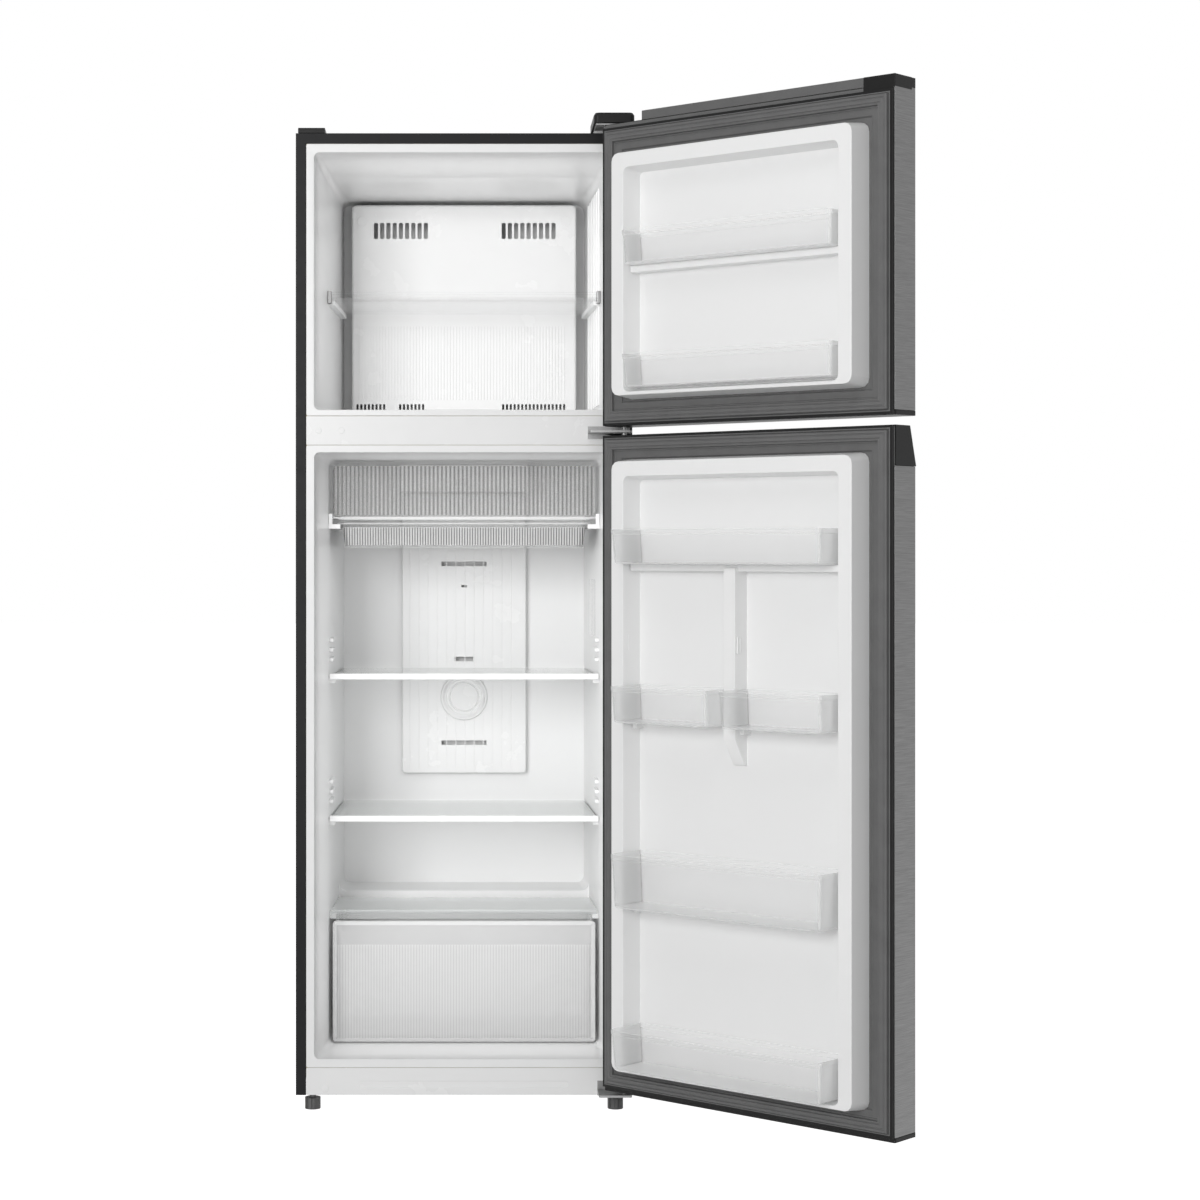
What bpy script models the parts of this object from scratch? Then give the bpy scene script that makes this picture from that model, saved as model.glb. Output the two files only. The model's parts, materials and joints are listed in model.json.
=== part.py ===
"""Two-door refrigerator with the freezer on top, both doors standing open.

Lengths are millimetres in the cabinet's own frame until they reach a mesh: X runs to the
right from the middle of the cabinet, Y runs back from its front face, Z runs up from the floor.
"""
import math

import bmesh
import bpy
from mathutils import Matrix, Vector

MM = 0.001
GAP = 0.3  # clearance between pieces that touch

# Cabinet
WIDTH = 600.0
DEPTH = 575.0
SHELL_BOTTOM = 28.0
SHEET = 1.0
FLANGE_SIDE = 18.4
FLANGE_TOP = 18.6
LINER = 2.0
LINER_LIP = 14.3
FRIDGE_FLOOR = 92.0
FRIDGE_HEIGHT = 1082.0
FRIDGE_LIP = 13.0
MULLION_HEIGHT = 52.0
FREEZER_LIP = 11.0
FREEZER_HEIGHT = 459.0
BACK_WALL = 100.0
TAPER_DEPTH = 100.0
TAPER = 19.0
SIDE_DRAFT = 12.0
KICK_TOP = 77.0
BAY_DEPTH = 178.0
BAY_HEIGHT = 300.0
HUMP_WALL = 46.0

# Shelves and drawers
SHELF_FRONT = 115.0
SHELF_BACK_GAP = 23.0
SHELF_RISES = (411.0, 671.0)
SHELF_TRIM_HEIGHT = 11.0
GLASS = 4.0
RIB = 11.0
CRISPER_FRONT = 125.0
CRISPER_HEIGHT = 224.0
COVER_HEIGHT = 16.0
CHILLER_DROP = 118.0
CHILLER_HEIGHT = 48.0
CHILLER_DEPTH = 262.0
FLAP_HEIGHT = 105.0
FREEZER_SHELF_RISE = 203.0
FREEZER_SHELF_FRONT = 100.0
COVER_GAP_BACK = 70.0

# Doors
DOOR_THICK = 63.0
DOOR_STANDOFF = 12.0
DOOR_GAP = 16.0
DOOR_GAP_RISE = 14.0
DOOR_BOTTOM = 50.0
DOOR_OVERTOP = 20.0
HINGE_INSET = 17.5
HINGE_BACK = 35.0
OPEN_ANGLE = 137.7
CAP = 8.0
CAP_WALL = 1.5
GRIP_HEIGHT = 66.0
GRIP_SLOPE = 18.0
DYKE_HEIGHT = 45.0
DYKE_INSET = 48.0
DYKE_WIDTH = 26.0
DYKE_SILL = 6.0
DYKE_SLOPE = 5.0
GASKET_WIDTH = 24.0
GASKET_INSET = 6.0
SEAL_GAP = 1.1
FREEZER_RACK_REACH = 65.0
FREEZER_RACK_HEIGHT = 58.0
FREEZER_RACK_RISE = 212.0
FRIDGE_RACK_REACH = 95.0
TOP_RACK_RISE = 884.0
TOP_RACK_HEIGHT = 59.0
MIDDLE_RACK_RISE = 613.0
MIDDLE_RACK_HEIGHT = 62.0
BOTTLE_RACK_RISE = 296.0
BOTTLE_RACK_HEIGHT = 92.0
BOTTOM_RACK_HEIGHT = 69.0
RACK_WALL = 2.5
RACK_SEAT = 1.0

# Hinges, feet and rollers
PIN = 4.0
FOOT_RADIUS = 14.0
FOOT_INSET = 29.0
ROLLER_RADIUS = 14.0
AXLE = 3.0

# Levels and widths that follow
HALF = WIDTH / 2
OPEN_HALF = HALF - FLANGE_SIDE - LINER_LIP
FRIDGE_TOP = FRIDGE_FLOOR + FRIDGE_HEIGHT
MULLION = FRIDGE_TOP + FRIDGE_LIP
MULLION_TOP = MULLION + MULLION_HEIGHT
FREEZER_FLOOR = MULLION_TOP + FREEZER_LIP
FREEZER_TOP = FREEZER_FLOOR + FREEZER_HEIGHT
SHELL_TOP = FREEZER_TOP + LINER_LIP + FLANGE_TOP + 1.1
LINER_BACK = DEPTH - BACK_WALL
BAY_FRONT = DEPTH - BAY_DEPTH
HUMP_TOP = BAY_HEIGHT + HUMP_WALL
HUMP_FRONT = BAY_FRONT - HUMP_WALL
FLOOR = FRIDGE_FLOOR + 5.0
CEILING = FRIDGE_TOP - 9.0
FREEZER_CEILING = FREEZER_TOP - 31.0
HINGE_X = HALF - HINGE_INSET
HINGE_Y = HINGE_BACK - DOOR_STANDOFF - DOOR_THICK - 7.0
DOOR_IN = -DOOR_STANDOFF
DOOR_OUT = DOOR_IN - DOOR_THICK
FRIDGE_DOOR_TOP = MULLION + DOOR_GAP_RISE
FREEZER_DOOR_BOTTOM = FRIDGE_DOOR_TOP + DOOR_GAP
FREEZER_DOOR_TOP = SHELL_TOP + DOOR_OVERTOP
DYKE_HALF = HALF - DYKE_INSET
POCKET_HALF = DYKE_HALF - DYKE_WIDTH - 2 * DYKE_SLOPE


# Shapes

def material(name, colour, roughness, metallic=0.0, alpha=1.0):
    """A Principled material, made once for each name."""
    made = bpy.data.materials.get(name)
    if made:
        return made
    made = bpy.data.materials.new(name)
    made.use_nodes = True
    shader = made.node_tree.nodes["Principled BSDF"]
    shader.inputs["Base Color"].default_value = (*colour, 1.0)
    shader.inputs["Roughness"].default_value = roughness
    shader.inputs["Metallic"].default_value = metallic
    shader.inputs["Alpha"].default_value = alpha
    return made


def object_from(name, bm, kind=None):
    """Close the bmesh into an object whose faces point outwards."""
    bmesh.ops.remove_doubles(bm, verts=bm.verts, dist=1e-6)
    bmesh.ops.recalc_face_normals(bm, faces=bm.faces)
    mesh = bpy.data.meshes.new(name)
    bm.to_mesh(mesh)
    bm.free()
    piece = bpy.data.objects.new(name, mesh)
    bpy.context.scene.collection.objects.link(piece)
    if kind:
        mesh.materials.append(kind)
    return piece


def on_plane(axis, level, points):
    """Points of a flat outline, set square to one axis at one level."""
    if axis == "X":
        return [(level, a, b) for a, b in points]
    if axis == "Y":
        return [(a, level, b) for a, b in points]
    return [(a, b, level) for a, b in points]


def rounded(low_a, high_a, low_b, high_b, radius=0.0, steps=3):
    """A rectangle's outline with round corners, always with the same number of points."""
    radius = min(radius, 0.49 * (high_a - low_a), 0.49 * (high_b - low_b))
    corners = ((high_a, high_b, 0), (low_a, high_b, 90), (low_a, low_b, 180), (high_a, low_b, 270))
    points = []
    for a, b, start in corners:
        mid_a = a - math.copysign(radius, a - (low_a + high_a) / 2)
        mid_b = b - math.copysign(radius, b - (low_b + high_b) / 2)
        for step in range(steps + 1):
            turn = math.radians(start + 90 * step / steps)
            points.append((mid_a + radius * math.cos(turn), mid_b + radius * math.sin(turn)))
    return points


def lofted(bm, loops, ring=False):
    """Skin a row of loops of equal length. The two ends are capped, or joined into a ring."""
    rows = [[bm.verts.new([MM * c for c in point]) for point in loop] for loop in loops]
    pairs = list(zip(rows, rows[1:]))
    if ring:
        pairs.append((rows[-1], rows[0]))
    for one, other in pairs:
        for k, vert in enumerate(one):
            after = (k + 1) % len(one)
            bm.faces.new((vert, one[after], other[after], other[k]))
    if not ring:
        bm.faces.new(rows[0])
        bm.faces.new(rows[-1])


def loft(name, loops, kind, ring=False):
    bm = bmesh.new()
    lofted(bm, loops, ring)
    return object_from(name, bm, kind)


def prism(name, axis, outline, low, high, kind=None):
    """A flat outline drawn out along an axis."""
    return loft(name, [on_plane(axis, low, outline), on_plane(axis, high, outline)], kind)


def corners(x0, x1, y0, y1, z0, z1):
    """The two end loops of a plain block."""
    outline = ((x0, y0), (x1, y0), (x1, y1), (x0, y1))
    return [on_plane("Z", z0, outline), on_plane("Z", z1, outline)]


def block(name, x0, x1, y0, y1, z0, z1, kind=None, radius=0.0):
    """A block, with its upright edges rounded where a radius is given."""
    if radius:
        return prism(name, "Z", rounded(x0, x1, y0, y1, radius), z0, z1, kind)
    return loft(name, corners(x0, x1, y0, y1, z0, z1), kind)


def blocks(spans):
    """Several loose blocks in one mesh, used to cut or to add a pattern at once."""
    bm = bmesh.new()
    for span in spans:
        lofted(bm, corners(*span))
    return object_from("pattern", bm)


def turned(name, axis, centre, profile, kind=None, sides=24):
    """A profile of (radius, height) points turned about an axis through a centre."""
    bm = bmesh.new()
    place = {"X": (1, 2, 0), "Y": (0, 2, 1), "Z": (0, 1, 2)}[axis]
    rows = []
    for radius, height in profile:
        row = []
        for side in range(sides):
            turn = math.tau * side / sides
            offset = (radius * math.cos(turn), radius * math.sin(turn), height)
            point = list(centre)
            for part, target in zip(offset, place):
                point[target] += part
            row.append(point)
        rows.append(row)
    lofted(bm, rows)
    piece = object_from(name, bm, kind)
    piece.data.shade_smooth()
    piece.data.set_sharp_from_angle(angle=math.radians(35))
    return piece


def combine(piece, others, operation):
    """Cut the others out of a piece, or weld them onto it, and keep the result as its mesh."""
    kinds = list(piece.data.materials)
    for other in others:
        step = piece.modifiers.new("step", "BOOLEAN")
        step.solver = "EXACT"
        step.operation = operation
        step.object = other
    bpy.context.view_layer.update()
    seen = piece.evaluated_get(bpy.context.evaluated_depsgraph_get())
    mesh = bpy.data.meshes.new_from_object(seen)
    piece.modifiers.clear()
    piece.data = mesh
    mesh.materials.clear()
    for kind in kinds:
        mesh.materials.append(kind)
    for other in others:
        bpy.data.objects.remove(other)
    return piece


def cut(piece, *others):
    return combine(piece, others, "DIFFERENCE")


def weld(piece, *others):
    return combine(piece, others, "UNION")


# Finishes

STEEL = material("brushed_steel", (0.27, 0.27, 0.27), 0.35, 0.9)
DARK_PAINT = material("dark_painted_steel", (0.05, 0.05, 0.052), 0.4)
ZINC = material("zinc_sheet", (0.45, 0.46, 0.47), 0.5, 0.8)
LINER_WHITE = material("liner_white", (0.86, 0.86, 0.86), 0.3)
TRIM_WHITE = material("trim_white", (0.8, 0.8, 0.8), 0.35)
FOAM = material("insulation_foam", (0.8, 0.72, 0.45), 0.9)
CLEAR = material("clear_plastic", (0.85, 0.87, 0.88), 0.1, 0.0, 0.35)
GLASS_KIND = material("shelf_glass", (0.75, 0.82, 0.8), 0.05, 0.0, 0.35)
GREY = material("gasket_grey", (0.25, 0.25, 0.25), 0.6)
BLACK = material("black_plastic", (0.015, 0.015, 0.015), 0.4)
CHARCOAL = material("charcoal_trim", (0.1, 0.1, 0.1), 0.45)
BRACKET = material("bracket_metal", (0.4, 0.4, 0.4), 0.4, 0.9)
FIN = material("fin_aluminium", (0.7, 0.7, 0.72), 0.4, 0.9)
COMPRESSOR_BLACK = material("compressor_black", (0.02, 0.02, 0.02), 0.45)
FOOT_GREY = material("foot_grey", (0.14, 0.14, 0.14), 0.6)


# Cabinet

def wall_half(y):
    """Half the inside width of the fridge compartment behind its front taper."""
    share = (y - TAPER_DEPTH) / (LINER_BACK - TAPER_DEPTH)
    return OPEN_HALF - TAPER - SIDE_DRAFT * share


def fridge_sections(grow=0.0):
    """(depth, half width, low, high, corner) of the fridge compartment, front to back."""
    rows = (
        (0.0, OPEN_HALF, FRIDGE_FLOOR, FRIDGE_TOP, 9.0),
        (TAPER_DEPTH, wall_half(TAPER_DEPTH), FLOOR, CEILING, 12.0),
        (HUMP_FRONT - 14.0, wall_half(HUMP_FRONT - 14.0), FLOOR, CEILING, 14.0),
        (HUMP_FRONT, wall_half(HUMP_FRONT), HUMP_TOP, CEILING, 14.0),
        (LINER_BACK, wall_half(LINER_BACK), HUMP_TOP, CEILING, 14.0),
    )
    return grown(rows, grow)


def freezer_sections(grow=0.0):
    rows = (
        (0.0, OPEN_HALF, FREEZER_FLOOR, FREEZER_TOP, 9.0),
        (TAPER_DEPTH, wall_half(TAPER_DEPTH), FREEZER_FLOOR - 3.0, FREEZER_CEILING, 12.0),
        (LINER_BACK, wall_half(LINER_BACK), FREEZER_FLOOR - 3.0, FREEZER_CEILING, 14.0),
    )
    return grown(rows, grow)


def grown(rows, grow):
    """The same pocket with walls moved outwards; its mouth stays in the front plane."""
    out = []
    for index, (y, half, low, high, radius) in enumerate(rows):
        back = grow if index > 1 else 0.0
        out.append((y + back, half + grow, low - grow, high + grow, radius + grow))
    return out


def section_loops(rows):
    return [on_plane("Y", y, rounded(-half, half, low, high, radius))
            for y, half, low, high, radius in rows]


def liner(name, sections, low, high, ribs):
    """A formed liner: lip round the mouth, thin walls, and moulded ribs that carry shelves."""
    lip_half = HALF - FLANGE_SIDE - GAP
    inner = section_loops(sections())
    outer = sections(LINER)
    outer[0] = (LINER, *outer[0][1:])
    lip = rounded(-lip_half, lip_half, low, high, 3.0)
    loops = section_loops(outer)[::-1]
    loops += [on_plane("Y", LINER, lip), on_plane("Y", 0.0, lip)] + inner
    piece = loft(name, loops, LINER_WHITE)
    rails = []
    for front, back, under in ribs:
        for side in (-1, 1):
            edge = [(side * (wall_half(front) - RIB), front), (side * (wall_half(back) - RIB), back),
                    (side * (wall_half(back) + 1.0), back), (side * (wall_half(front) + 1.0), front)]
            rails.append(prism("rail", "Z", edge, under - 9.0, under))
    return weld(piece, *rails) if rails else piece


def cabinet_shell():
    """Folded outer sheet: two sides and a top, with a flange turned in round the front."""
    def arch(side, top):
        return [(-HALF, SHELL_BOTTOM), (-HALF, SHELL_TOP), (HALF, SHELL_TOP), (HALF, SHELL_BOTTOM),
                (HALF - side, SHELL_BOTTOM), (HALF - side, SHELL_TOP - top),
                (side - HALF, SHELL_TOP - top), (side - HALF, SHELL_BOTTOM)]
    body = prism("cabinet_shell", "Y", arch(SHEET, SHEET), 0.0, DEPTH, DARK_PAINT)
    flange = prism("flange", "Y", arch(FLANGE_SIDE, FLANGE_TOP), 0.0, SHEET)
    return weld(body, flange)


def cabinet_foam():
    """Insulation that fills the walls, stepped over the machine bay and cut for both liners."""
    half = HALF - SHEET - GAP
    front = LINER + GAP
    back = DEPTH - 2 * SHEET - 2 * GAP
    low = 60.0 + GAP
    side = [(front, low), (BAY_FRONT - GAP, low), (BAY_FRONT - GAP, BAY_HEIGHT + GAP),
            (back, BAY_HEIGHT + GAP), (back, SHELL_TOP - SHEET - GAP), (front, SHELL_TOP - SHEET - GAP)]
    piece = prism("cabinet_foam", "X", side, -half, half, FOAM)
    pockets = []
    for sections in (fridge_sections, freezer_sections):
        rows = sections(LINER + GAP)
        mouth = (-10.0, *rows[0][1:])
        flush = (front, *rows[0][1:])
        pockets.append(loft("pocket", section_loops([mouth, flush] + rows[1:]), None))
    return cut(piece, *pockets)


def back_panel():
    half = HALF - SHEET - GAP
    return block("back_panel", -half, half, DEPTH - 2 * SHEET, DEPTH - SHEET, BAY_HEIGHT + GAP,
                 SHELL_TOP - SHEET - GAP, ZINC)


def mullion_cover():
    half = HALF - FLANGE_SIDE - GAP
    return prism("mullion_cover", "Y", rounded(-half, half, MULLION + GAP, MULLION_TOP - GAP, 2.0),
                 0.0, LINER, TRIM_WHITE)


def kick_panel():
    """Plinth across the front, with a long round-ended groove pressed into its face."""
    half = HALF - FLANGE_SIDE - GAP
    piece = prism("kick_panel", "Y", rounded(-half, half, SHELL_BOTTOM + GAP, KICK_TOP - GAP, 2.0),
                  0.0, LINER, TRIM_WHITE)
    groove = prism("groove", "Y", rounded(-186.0, 186.0, 42.0, 53.0, 5.4), -1.0, LINER / 2)
    return cut(piece, groove)


def base_plate():
    """Stepped floor sheet: flat under the compartments, then up and over the machine bay."""
    half = HALF - SHEET - GAP
    t = 1.5
    side = [(6.0, 60.0 - t), (BAY_FRONT + t, 60.0 - t), (BAY_FRONT + t, BAY_HEIGHT - t),
            (DEPTH - 2 * SHEET - GAP, BAY_HEIGHT - t), (DEPTH - 2 * SHEET - GAP, BAY_HEIGHT),
            (BAY_FRONT, BAY_HEIGHT), (BAY_FRONT, 60.0), (6.0, 60.0)]
    return prism("base_plate", "X", side, -half, half, ZINC)


def machine_plate(axle_y):
    """Cross plate that carries the compressor, with ears for the two rear rollers."""
    half = HALF - SHEET - GAP
    low = 31.0
    piece = block("machine_plate", -half, half, BAY_FRONT + 4.0, DEPTH - 4.0, low, low + 2.5, ZINC)
    ears = []
    for side in (-1, 1):
        for x in (side * (half - 46.0), side * (half - 20.0)):
            span = [(axle_y - 10.0, 6.0), (axle_y + 10.0, 6.0), (axle_y + 16.0, low + 1.0),
                    (axle_y - 16.0, low + 1.0)]
            ears.append(prism("ear", "X", span, x - 1.0, x + 1.0))
    piece = weld(piece, *ears)
    hole = turned("hole", "X", (0.0, axle_y, ROLLER_RADIUS), [(AXLE + GAP, -half), (AXLE + GAP, half)])
    return cut(piece, hole)


def roller(name, side, axle_y):
    middle = side * (HALF - SHEET - GAP - 33.0)
    profile = [(AXLE, -16.0), (AXLE, -9.0), (ROLLER_RADIUS, -9.0), (ROLLER_RADIUS, 9.0),
               (AXLE, 9.0), (AXLE, 16.0)]
    return turned(name, "X", (middle, axle_y, ROLLER_RADIUS), profile, BLACK)


def foot(name, side, y):
    """Levelling foot: knurled knob on a stud that stands under the base plate."""
    profile = [(FOOT_RADIUS - 2.0, 0.0), (FOOT_RADIUS, 2.0), (FOOT_RADIUS, 20.0),
               (FOOT_RADIUS - 2.0, 22.0), (4.0, 22.0), (4.0, 60.0 - 1.5 - GAP)]
    return turned(name, "Z", (side * (HALF - FOOT_INSET), y, 0.0), profile, FOOT_GREY)


def rear_cover():
    """Cover of the machine bay, with two rows of louvres."""
    half = HALF - SHEET - GAP
    piece = block("rear_cover", -half, half, DEPTH - 2 * SHEET, DEPTH - SHEET, 34.0, BAY_HEIGHT - GAP,
                  BLACK)
    slots = [(x - 18.0, x + 18.0, DEPTH - 9.0, DEPTH + 9.0, z - 5.0, z + 5.0)
             for x in range(-200, 201, 50) for z in (90.0, 120.0, 210.0, 240.0)]
    return cut(piece, blocks(slots))


def compressor():
    y = DEPTH - BAY_DEPTH / 2
    profile = [(64.0, 33.5 + GAP), (64.0, 40.0), (70.0, 48.0), (74.0, 78.0), (74.0, 118.0),
               (70.0, 148.0), (56.0, 176.0), (32.0, 190.0)]
    return turned("compressor", "Z", (-130.0, y, 0.0), profile, COMPRESSOR_BLACK, 28)


def drain_pan():
    """Melt-water tray that sits on the compressor."""
    y = DEPTH - BAY_DEPTH / 2
    return tray("drain_pan", -210.0, -50.0, y - 60.0, y + 60.0, 190.0 + GAP, 222.0, 2.0, BLACK, 5.0)


def tray(name, x0, x1, y0, y1, low, high, wall, kind, lean=0.0, radius=10.0):
    """An open-topped tray whose sides lean out towards the rim."""
    def ring(level, inset, lift):
        return on_plane("Z", level, rounded(x0 + inset, x1 - inset, y0 + inset, y1 - inset,
                                            max(radius - lift, 1.0)))
    loops = [ring(low, lean, 0.0), ring(high, 0.0, 0.0), ring(high, wall, wall),
             ring(low + wall, lean + wall, wall)]
    return loft(name, loops, kind)


# Freezer compartment

def evaporator_cover():
    """Raised panel over the cold coil, open at the back, with vents at its top and foot."""
    front = LINER_BACK - COVER_GAP_BACK
    low, high, half, wall = FREEZER_FLOOR + 10.0, FREEZER_CEILING - 8.0, 218.0, 2.5
    rear = LINER_BACK - GAP
    loops = [on_plane("Y", y, rounded(-half + inset, half - inset, low + inset, high - inset, radius))
             for y, inset, radius in ((rear, wall, 10.0), (front + wall, wall, 10.0))]
    outer = [on_plane("Y", y, rounded(-half + inset, half - inset, low + inset, high - inset, radius))
             for y, inset, radius in ((front, 2.0, 12.0), (front + 2.0, 0.0, 12.0), (rear, 0.0, 12.0))]
    piece = loft("evaporator_cover", loops[::-1] + outer[::-1], TRIM_WHITE)
    vent_low = high - 66.0
    spans = [(x - 4.0, x + 4.0, front - 5.0, front + 9.0, vent_low, vent_low + 31.0)
             for start in (-171.0, 77.0) for x in [start + 12.1 * k for k in range(9)]]
    spans += [(a, b, front - 5.0, front + 9.0, low + 12.0, low + 24.0)
              for a, b in ((-180.0, -122.0), (-105.0, -62.0), (-50.0, 50.0), (62.0, 170.0))]
    return cut(piece, blocks(spans))


def evaporator():
    """Finned coil: plates side by side on a solid core."""
    front = LINER_BACK - COVER_GAP_BACK + 12.0
    core = front + 14.0
    half, pitch, fin = 180.0, 15.0, 3.0
    outline = [(-half, LINER_BACK - GAP), (-half, front)]
    for k in range(int(2 * half / pitch)):
        x = -half + k * pitch
        outline += [(x + fin, front), (x + fin, core), (x + pitch, core), (x + pitch, front)]
    outline += [(half + fin, front), (half + fin, LINER_BACK - GAP)]
    return prism("evaporator", "Z", outline, FREEZER_FLOOR + 45.0, FREEZER_CEILING - 135.0, FIN)


def fan_centre():
    return (0.0, LINER_BACK - GAP, FREEZER_CEILING - 70.0)


def fan_motor():
    profile = [(24.0, 0.0), (24.0, -22.0), (20.0, -26.0), (2.5, -26.0), (2.5, -44.0)]
    return turned("fan_motor", "Y", fan_centre(), profile, BLACK, 20)


def fan():
    """Hub on the motor's shaft, with flat blades set at a pitch."""
    centre = fan_centre()
    hub = turned("evaporator_fan", "Y", centre,
                 [(2.5 + GAP, -29.0), (14.0, -29.0), (14.0, -46.0), (8.0, -49.0), (2.5 + GAP, -46.0)],
                 BLACK, 20)
    bore = hub_bore(centre)
    blades = []
    for k in range(5):
        blade = block("blade", 10.0, 46.0, -1.0, 1.0, -14.0, 14.0)
        pitch = Matrix.Rotation(math.radians(60), 4, "X")
        turn = Matrix.Rotation(math.radians(72 * k), 4, "Y")
        spot = Matrix.Translation([MM * c for c in (centre[0], centre[1] - 40.0, centre[2])])
        blade.data.transform(spot @ turn @ pitch)
        blades.append(blade)
    return cut(weld(hub, *blades), bore)


def hub_bore(centre):
    """Blind hole for the motor's shaft."""
    return turned("bore", "Y", centre, [(2.5 + GAP, -20.0), (2.5 + GAP, -44.0 - GAP)], None, 20)


def shelf_glass(name, front, back, level, margin=1.5):
    """A glass plate that follows the taper of the side walls."""
    edge = [(-wall_half(front) + margin, front), (wall_half(front) - margin, front),
            (wall_half(back) - margin, back), (-wall_half(back) + margin, back)]
    return prism(name, "Z", edge, level, level + GLASS, GLASS_KIND)


def shelf_trim(name, front, low, height, margin=1.5):
    half = wall_half(front + 9.0) - margin
    return prism(name, "X", rounded(front, front + 9.0, low, low + height, 2.0), -half, half, TRIM_WHITE)


def freezer_shelf():
    """Shelf plate with its raised front bar, as one piece."""
    front, level = FREEZER_SHELF_FRONT, FREEZER_FLOOR + FREEZER_SHELF_RISE
    back = LINER_BACK - COVER_GAP_BACK - 3.0
    piece = shelf_glass("freezer_shelf", front + 4.0, back, level + 4.0)
    return weld(piece, shelf_trim("bar", front, level, 13.0))


# Fridge compartment

def duct_cover():
    """Air duct on the back wall, open at the back, with slots and upright ribs."""
    front, rear = LINER_BACK - 20.0, LINER_BACK - GAP
    low, high, half, wall = FRIDGE_FLOOR + 470.0, CEILING - 55.0, 122.0, 2.5
    inner = [on_plane("Y", y, rounded(-half + wall, half - wall, low + wall, high - wall, 4.0))
             for y in (front + wall, rear)]
    outer = [on_plane("Y", y, rounded(-half + inset, half - inset, low + inset, high - inset, 6.0))
             for y, inset in ((rear, 0.0), (front + 2.0, 0.0), (front, 2.0))]
    piece = loft("duct_cover", inner + outer, TRIM_WHITE)
    shelf = FRIDGE_FLOOR + SHELF_RISES[1]
    slots = [(-44.0, 44.0, high - 141.0, high - 133.0), (-18.0, 18.0, shelf + 19.0, shelf + 27.0),
             (-44.0, 44.0, low + 56.0, low + 64.0), (-5.0, 5.0, high - 183.0, high - 179.0)]
    return cut(piece, blocks([(a, b, front - 4.0, front + 8.0, c, d) for a, b, c, d in slots]))


def deodoriser_cap():
    centre = (0.0, LINER_BACK - 20.0 - GAP, FRIDGE_FLOOR + 620.0)
    profile = [(46.0, 0.0), (46.0, -3.0), (44.0, -5.0), (36.0, -5.0), (34.0, -3.6), (8.0, -3.6)]
    return turned("deodoriser_cap", "Y", centre, profile, TRIM_WHITE, 40)


def control_box():
    piece = block("control_box", -124.0, 124.0, LINER_BACK - 95.0, LINER_BACK - GAP,
                  CEILING - 52.0, CEILING - GAP, TRIM_WHITE, 5.0)
    slots = [(x - 1.5, x + 1.5, LINER_BACK - 99.0, LINER_BACK - 90.0, CEILING - 40.0, CEILING - 31.0)
             for x in (-15.0, -9.0, -3.0, 3.0, 9.0, 15.0)]
    return cut(piece, blocks(slots))


def lamp_cover():
    """Lens of the side lamp, lying along the right wall."""
    front, back = 205.0, 300.0
    edge = [(wall_half(front) - GAP, front), (wall_half(back) - GAP, back),
            (wall_half(back) - 5.0, back - 4.0), (wall_half(front) - 5.0, front + 4.0)]
    low = FRIDGE_FLOOR + 748.0
    return prism("lamp_cover", "Z", edge, low, low + 105.0, CLEAR)


def chiller_levels():
    """Rail top, tray bottom and flap axis, all hung from the compartment's ceiling."""
    rail = CEILING - CHILLER_DROP
    return rail, rail - CHILLER_HEIGHT + 5.0, rail + 12.0


def chiller_rail(name, side):
    """Side bracket: a ledge under the tray's rim and an ear that holds the flap's pin."""
    rail, _, axis = chiller_levels()
    front, back = SHELF_FRONT - 8.0, SHELF_FRONT + CHILLER_DEPTH
    ledge = [(side * 226.0, front), (side * 226.0, back), (side * (wall_half(back) - GAP), back),
             (side * (wall_half(front) - GAP), front)]
    piece = prism(name, "Z", ledge, rail - 8.0, rail, TRIM_WHITE)
    inside, outside = side * 240.4, side * (wall_half(SHELF_FRONT + 6.0) - GAP)
    ear = block("ear", min(inside, outside), max(inside, outside), SHELF_FRONT - 8.0,
                SHELF_FRONT + 6.0, rail - 4.0, axis + 7.0)
    piece = weld(piece, ear)
    hole = turned("hole", "X", (inside, SHELF_FRONT, axis), [(2.0 + GAP, -2.0), (2.0 + GAP, 3.6)]
                  if side > 0 else [(2.0 + GAP, -3.6), (2.0 + GAP, 2.0)], None, 12)
    return cut(piece, hole)


def chiller_tray():
    """Shallow clear tray whose rim rides on the two rails."""
    rail, low, _ = chiller_levels()
    front, back, half, wall = SHELF_FRONT + 10.0, SHELF_FRONT + CHILLER_DEPTH - 6.0, 224.0, 2.5
    def ring(level, inset):
        return on_plane("Z", level, rounded(-half + inset, half - inset, front + max(inset, 0.0),
                                            back - max(inset, 0.0), 8.0))
    loops = [ring(low, 6.0), ring(rail + GAP, 0.0), ring(rail + GAP, -9.0), ring(rail + 3.0, -9.0),
             ring(rail + 3.0, wall), ring(low + wall, 6.0 + wall)]
    return loft("chiller_tray", loops, CLEAR)


def chiller_flap():
    """Clear front flap that drops forward on pins at its lower corners."""
    _, _, axis = chiller_levels()
    half, y = 239.0, SHELF_FRONT
    sheet = rounded(-half, half, axis - 4.0, axis - 4.0 + FLAP_HEIGHT, 15.0)
    sheet = [(a, max(b, axis - 4.0)) for a, b in sheet]
    lower = [(a, b) for a, b in sheet]
    piece = prism("chiller_flap", "Y", lower, y - 1.5, y + 1.5, CLEAR)
    barrel = turned("barrel", "X", (0.0, y, axis), [(4.0, -half + 16.0), (4.0, half - 16.0)], None, 12)
    pin = turned("pin", "X", (0.0, y, axis), [(2.0, -half - 4.0), (2.0, half + 4.0)], None, 12)
    return weld(piece, barrel, pin)


def crisper_cover():
    """Glass lid over the drawer with a deeper bar along its front."""
    low = FLOOR + CRISPER_HEIGHT + 3.0
    back = HUMP_FRONT - 18.0
    piece = shelf_glass("crisper_cover", CRISPER_FRONT + 4.0, back, low + 8.0)
    return weld(piece, shelf_trim("bar", CRISPER_FRONT, low, COVER_HEIGHT))


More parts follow.
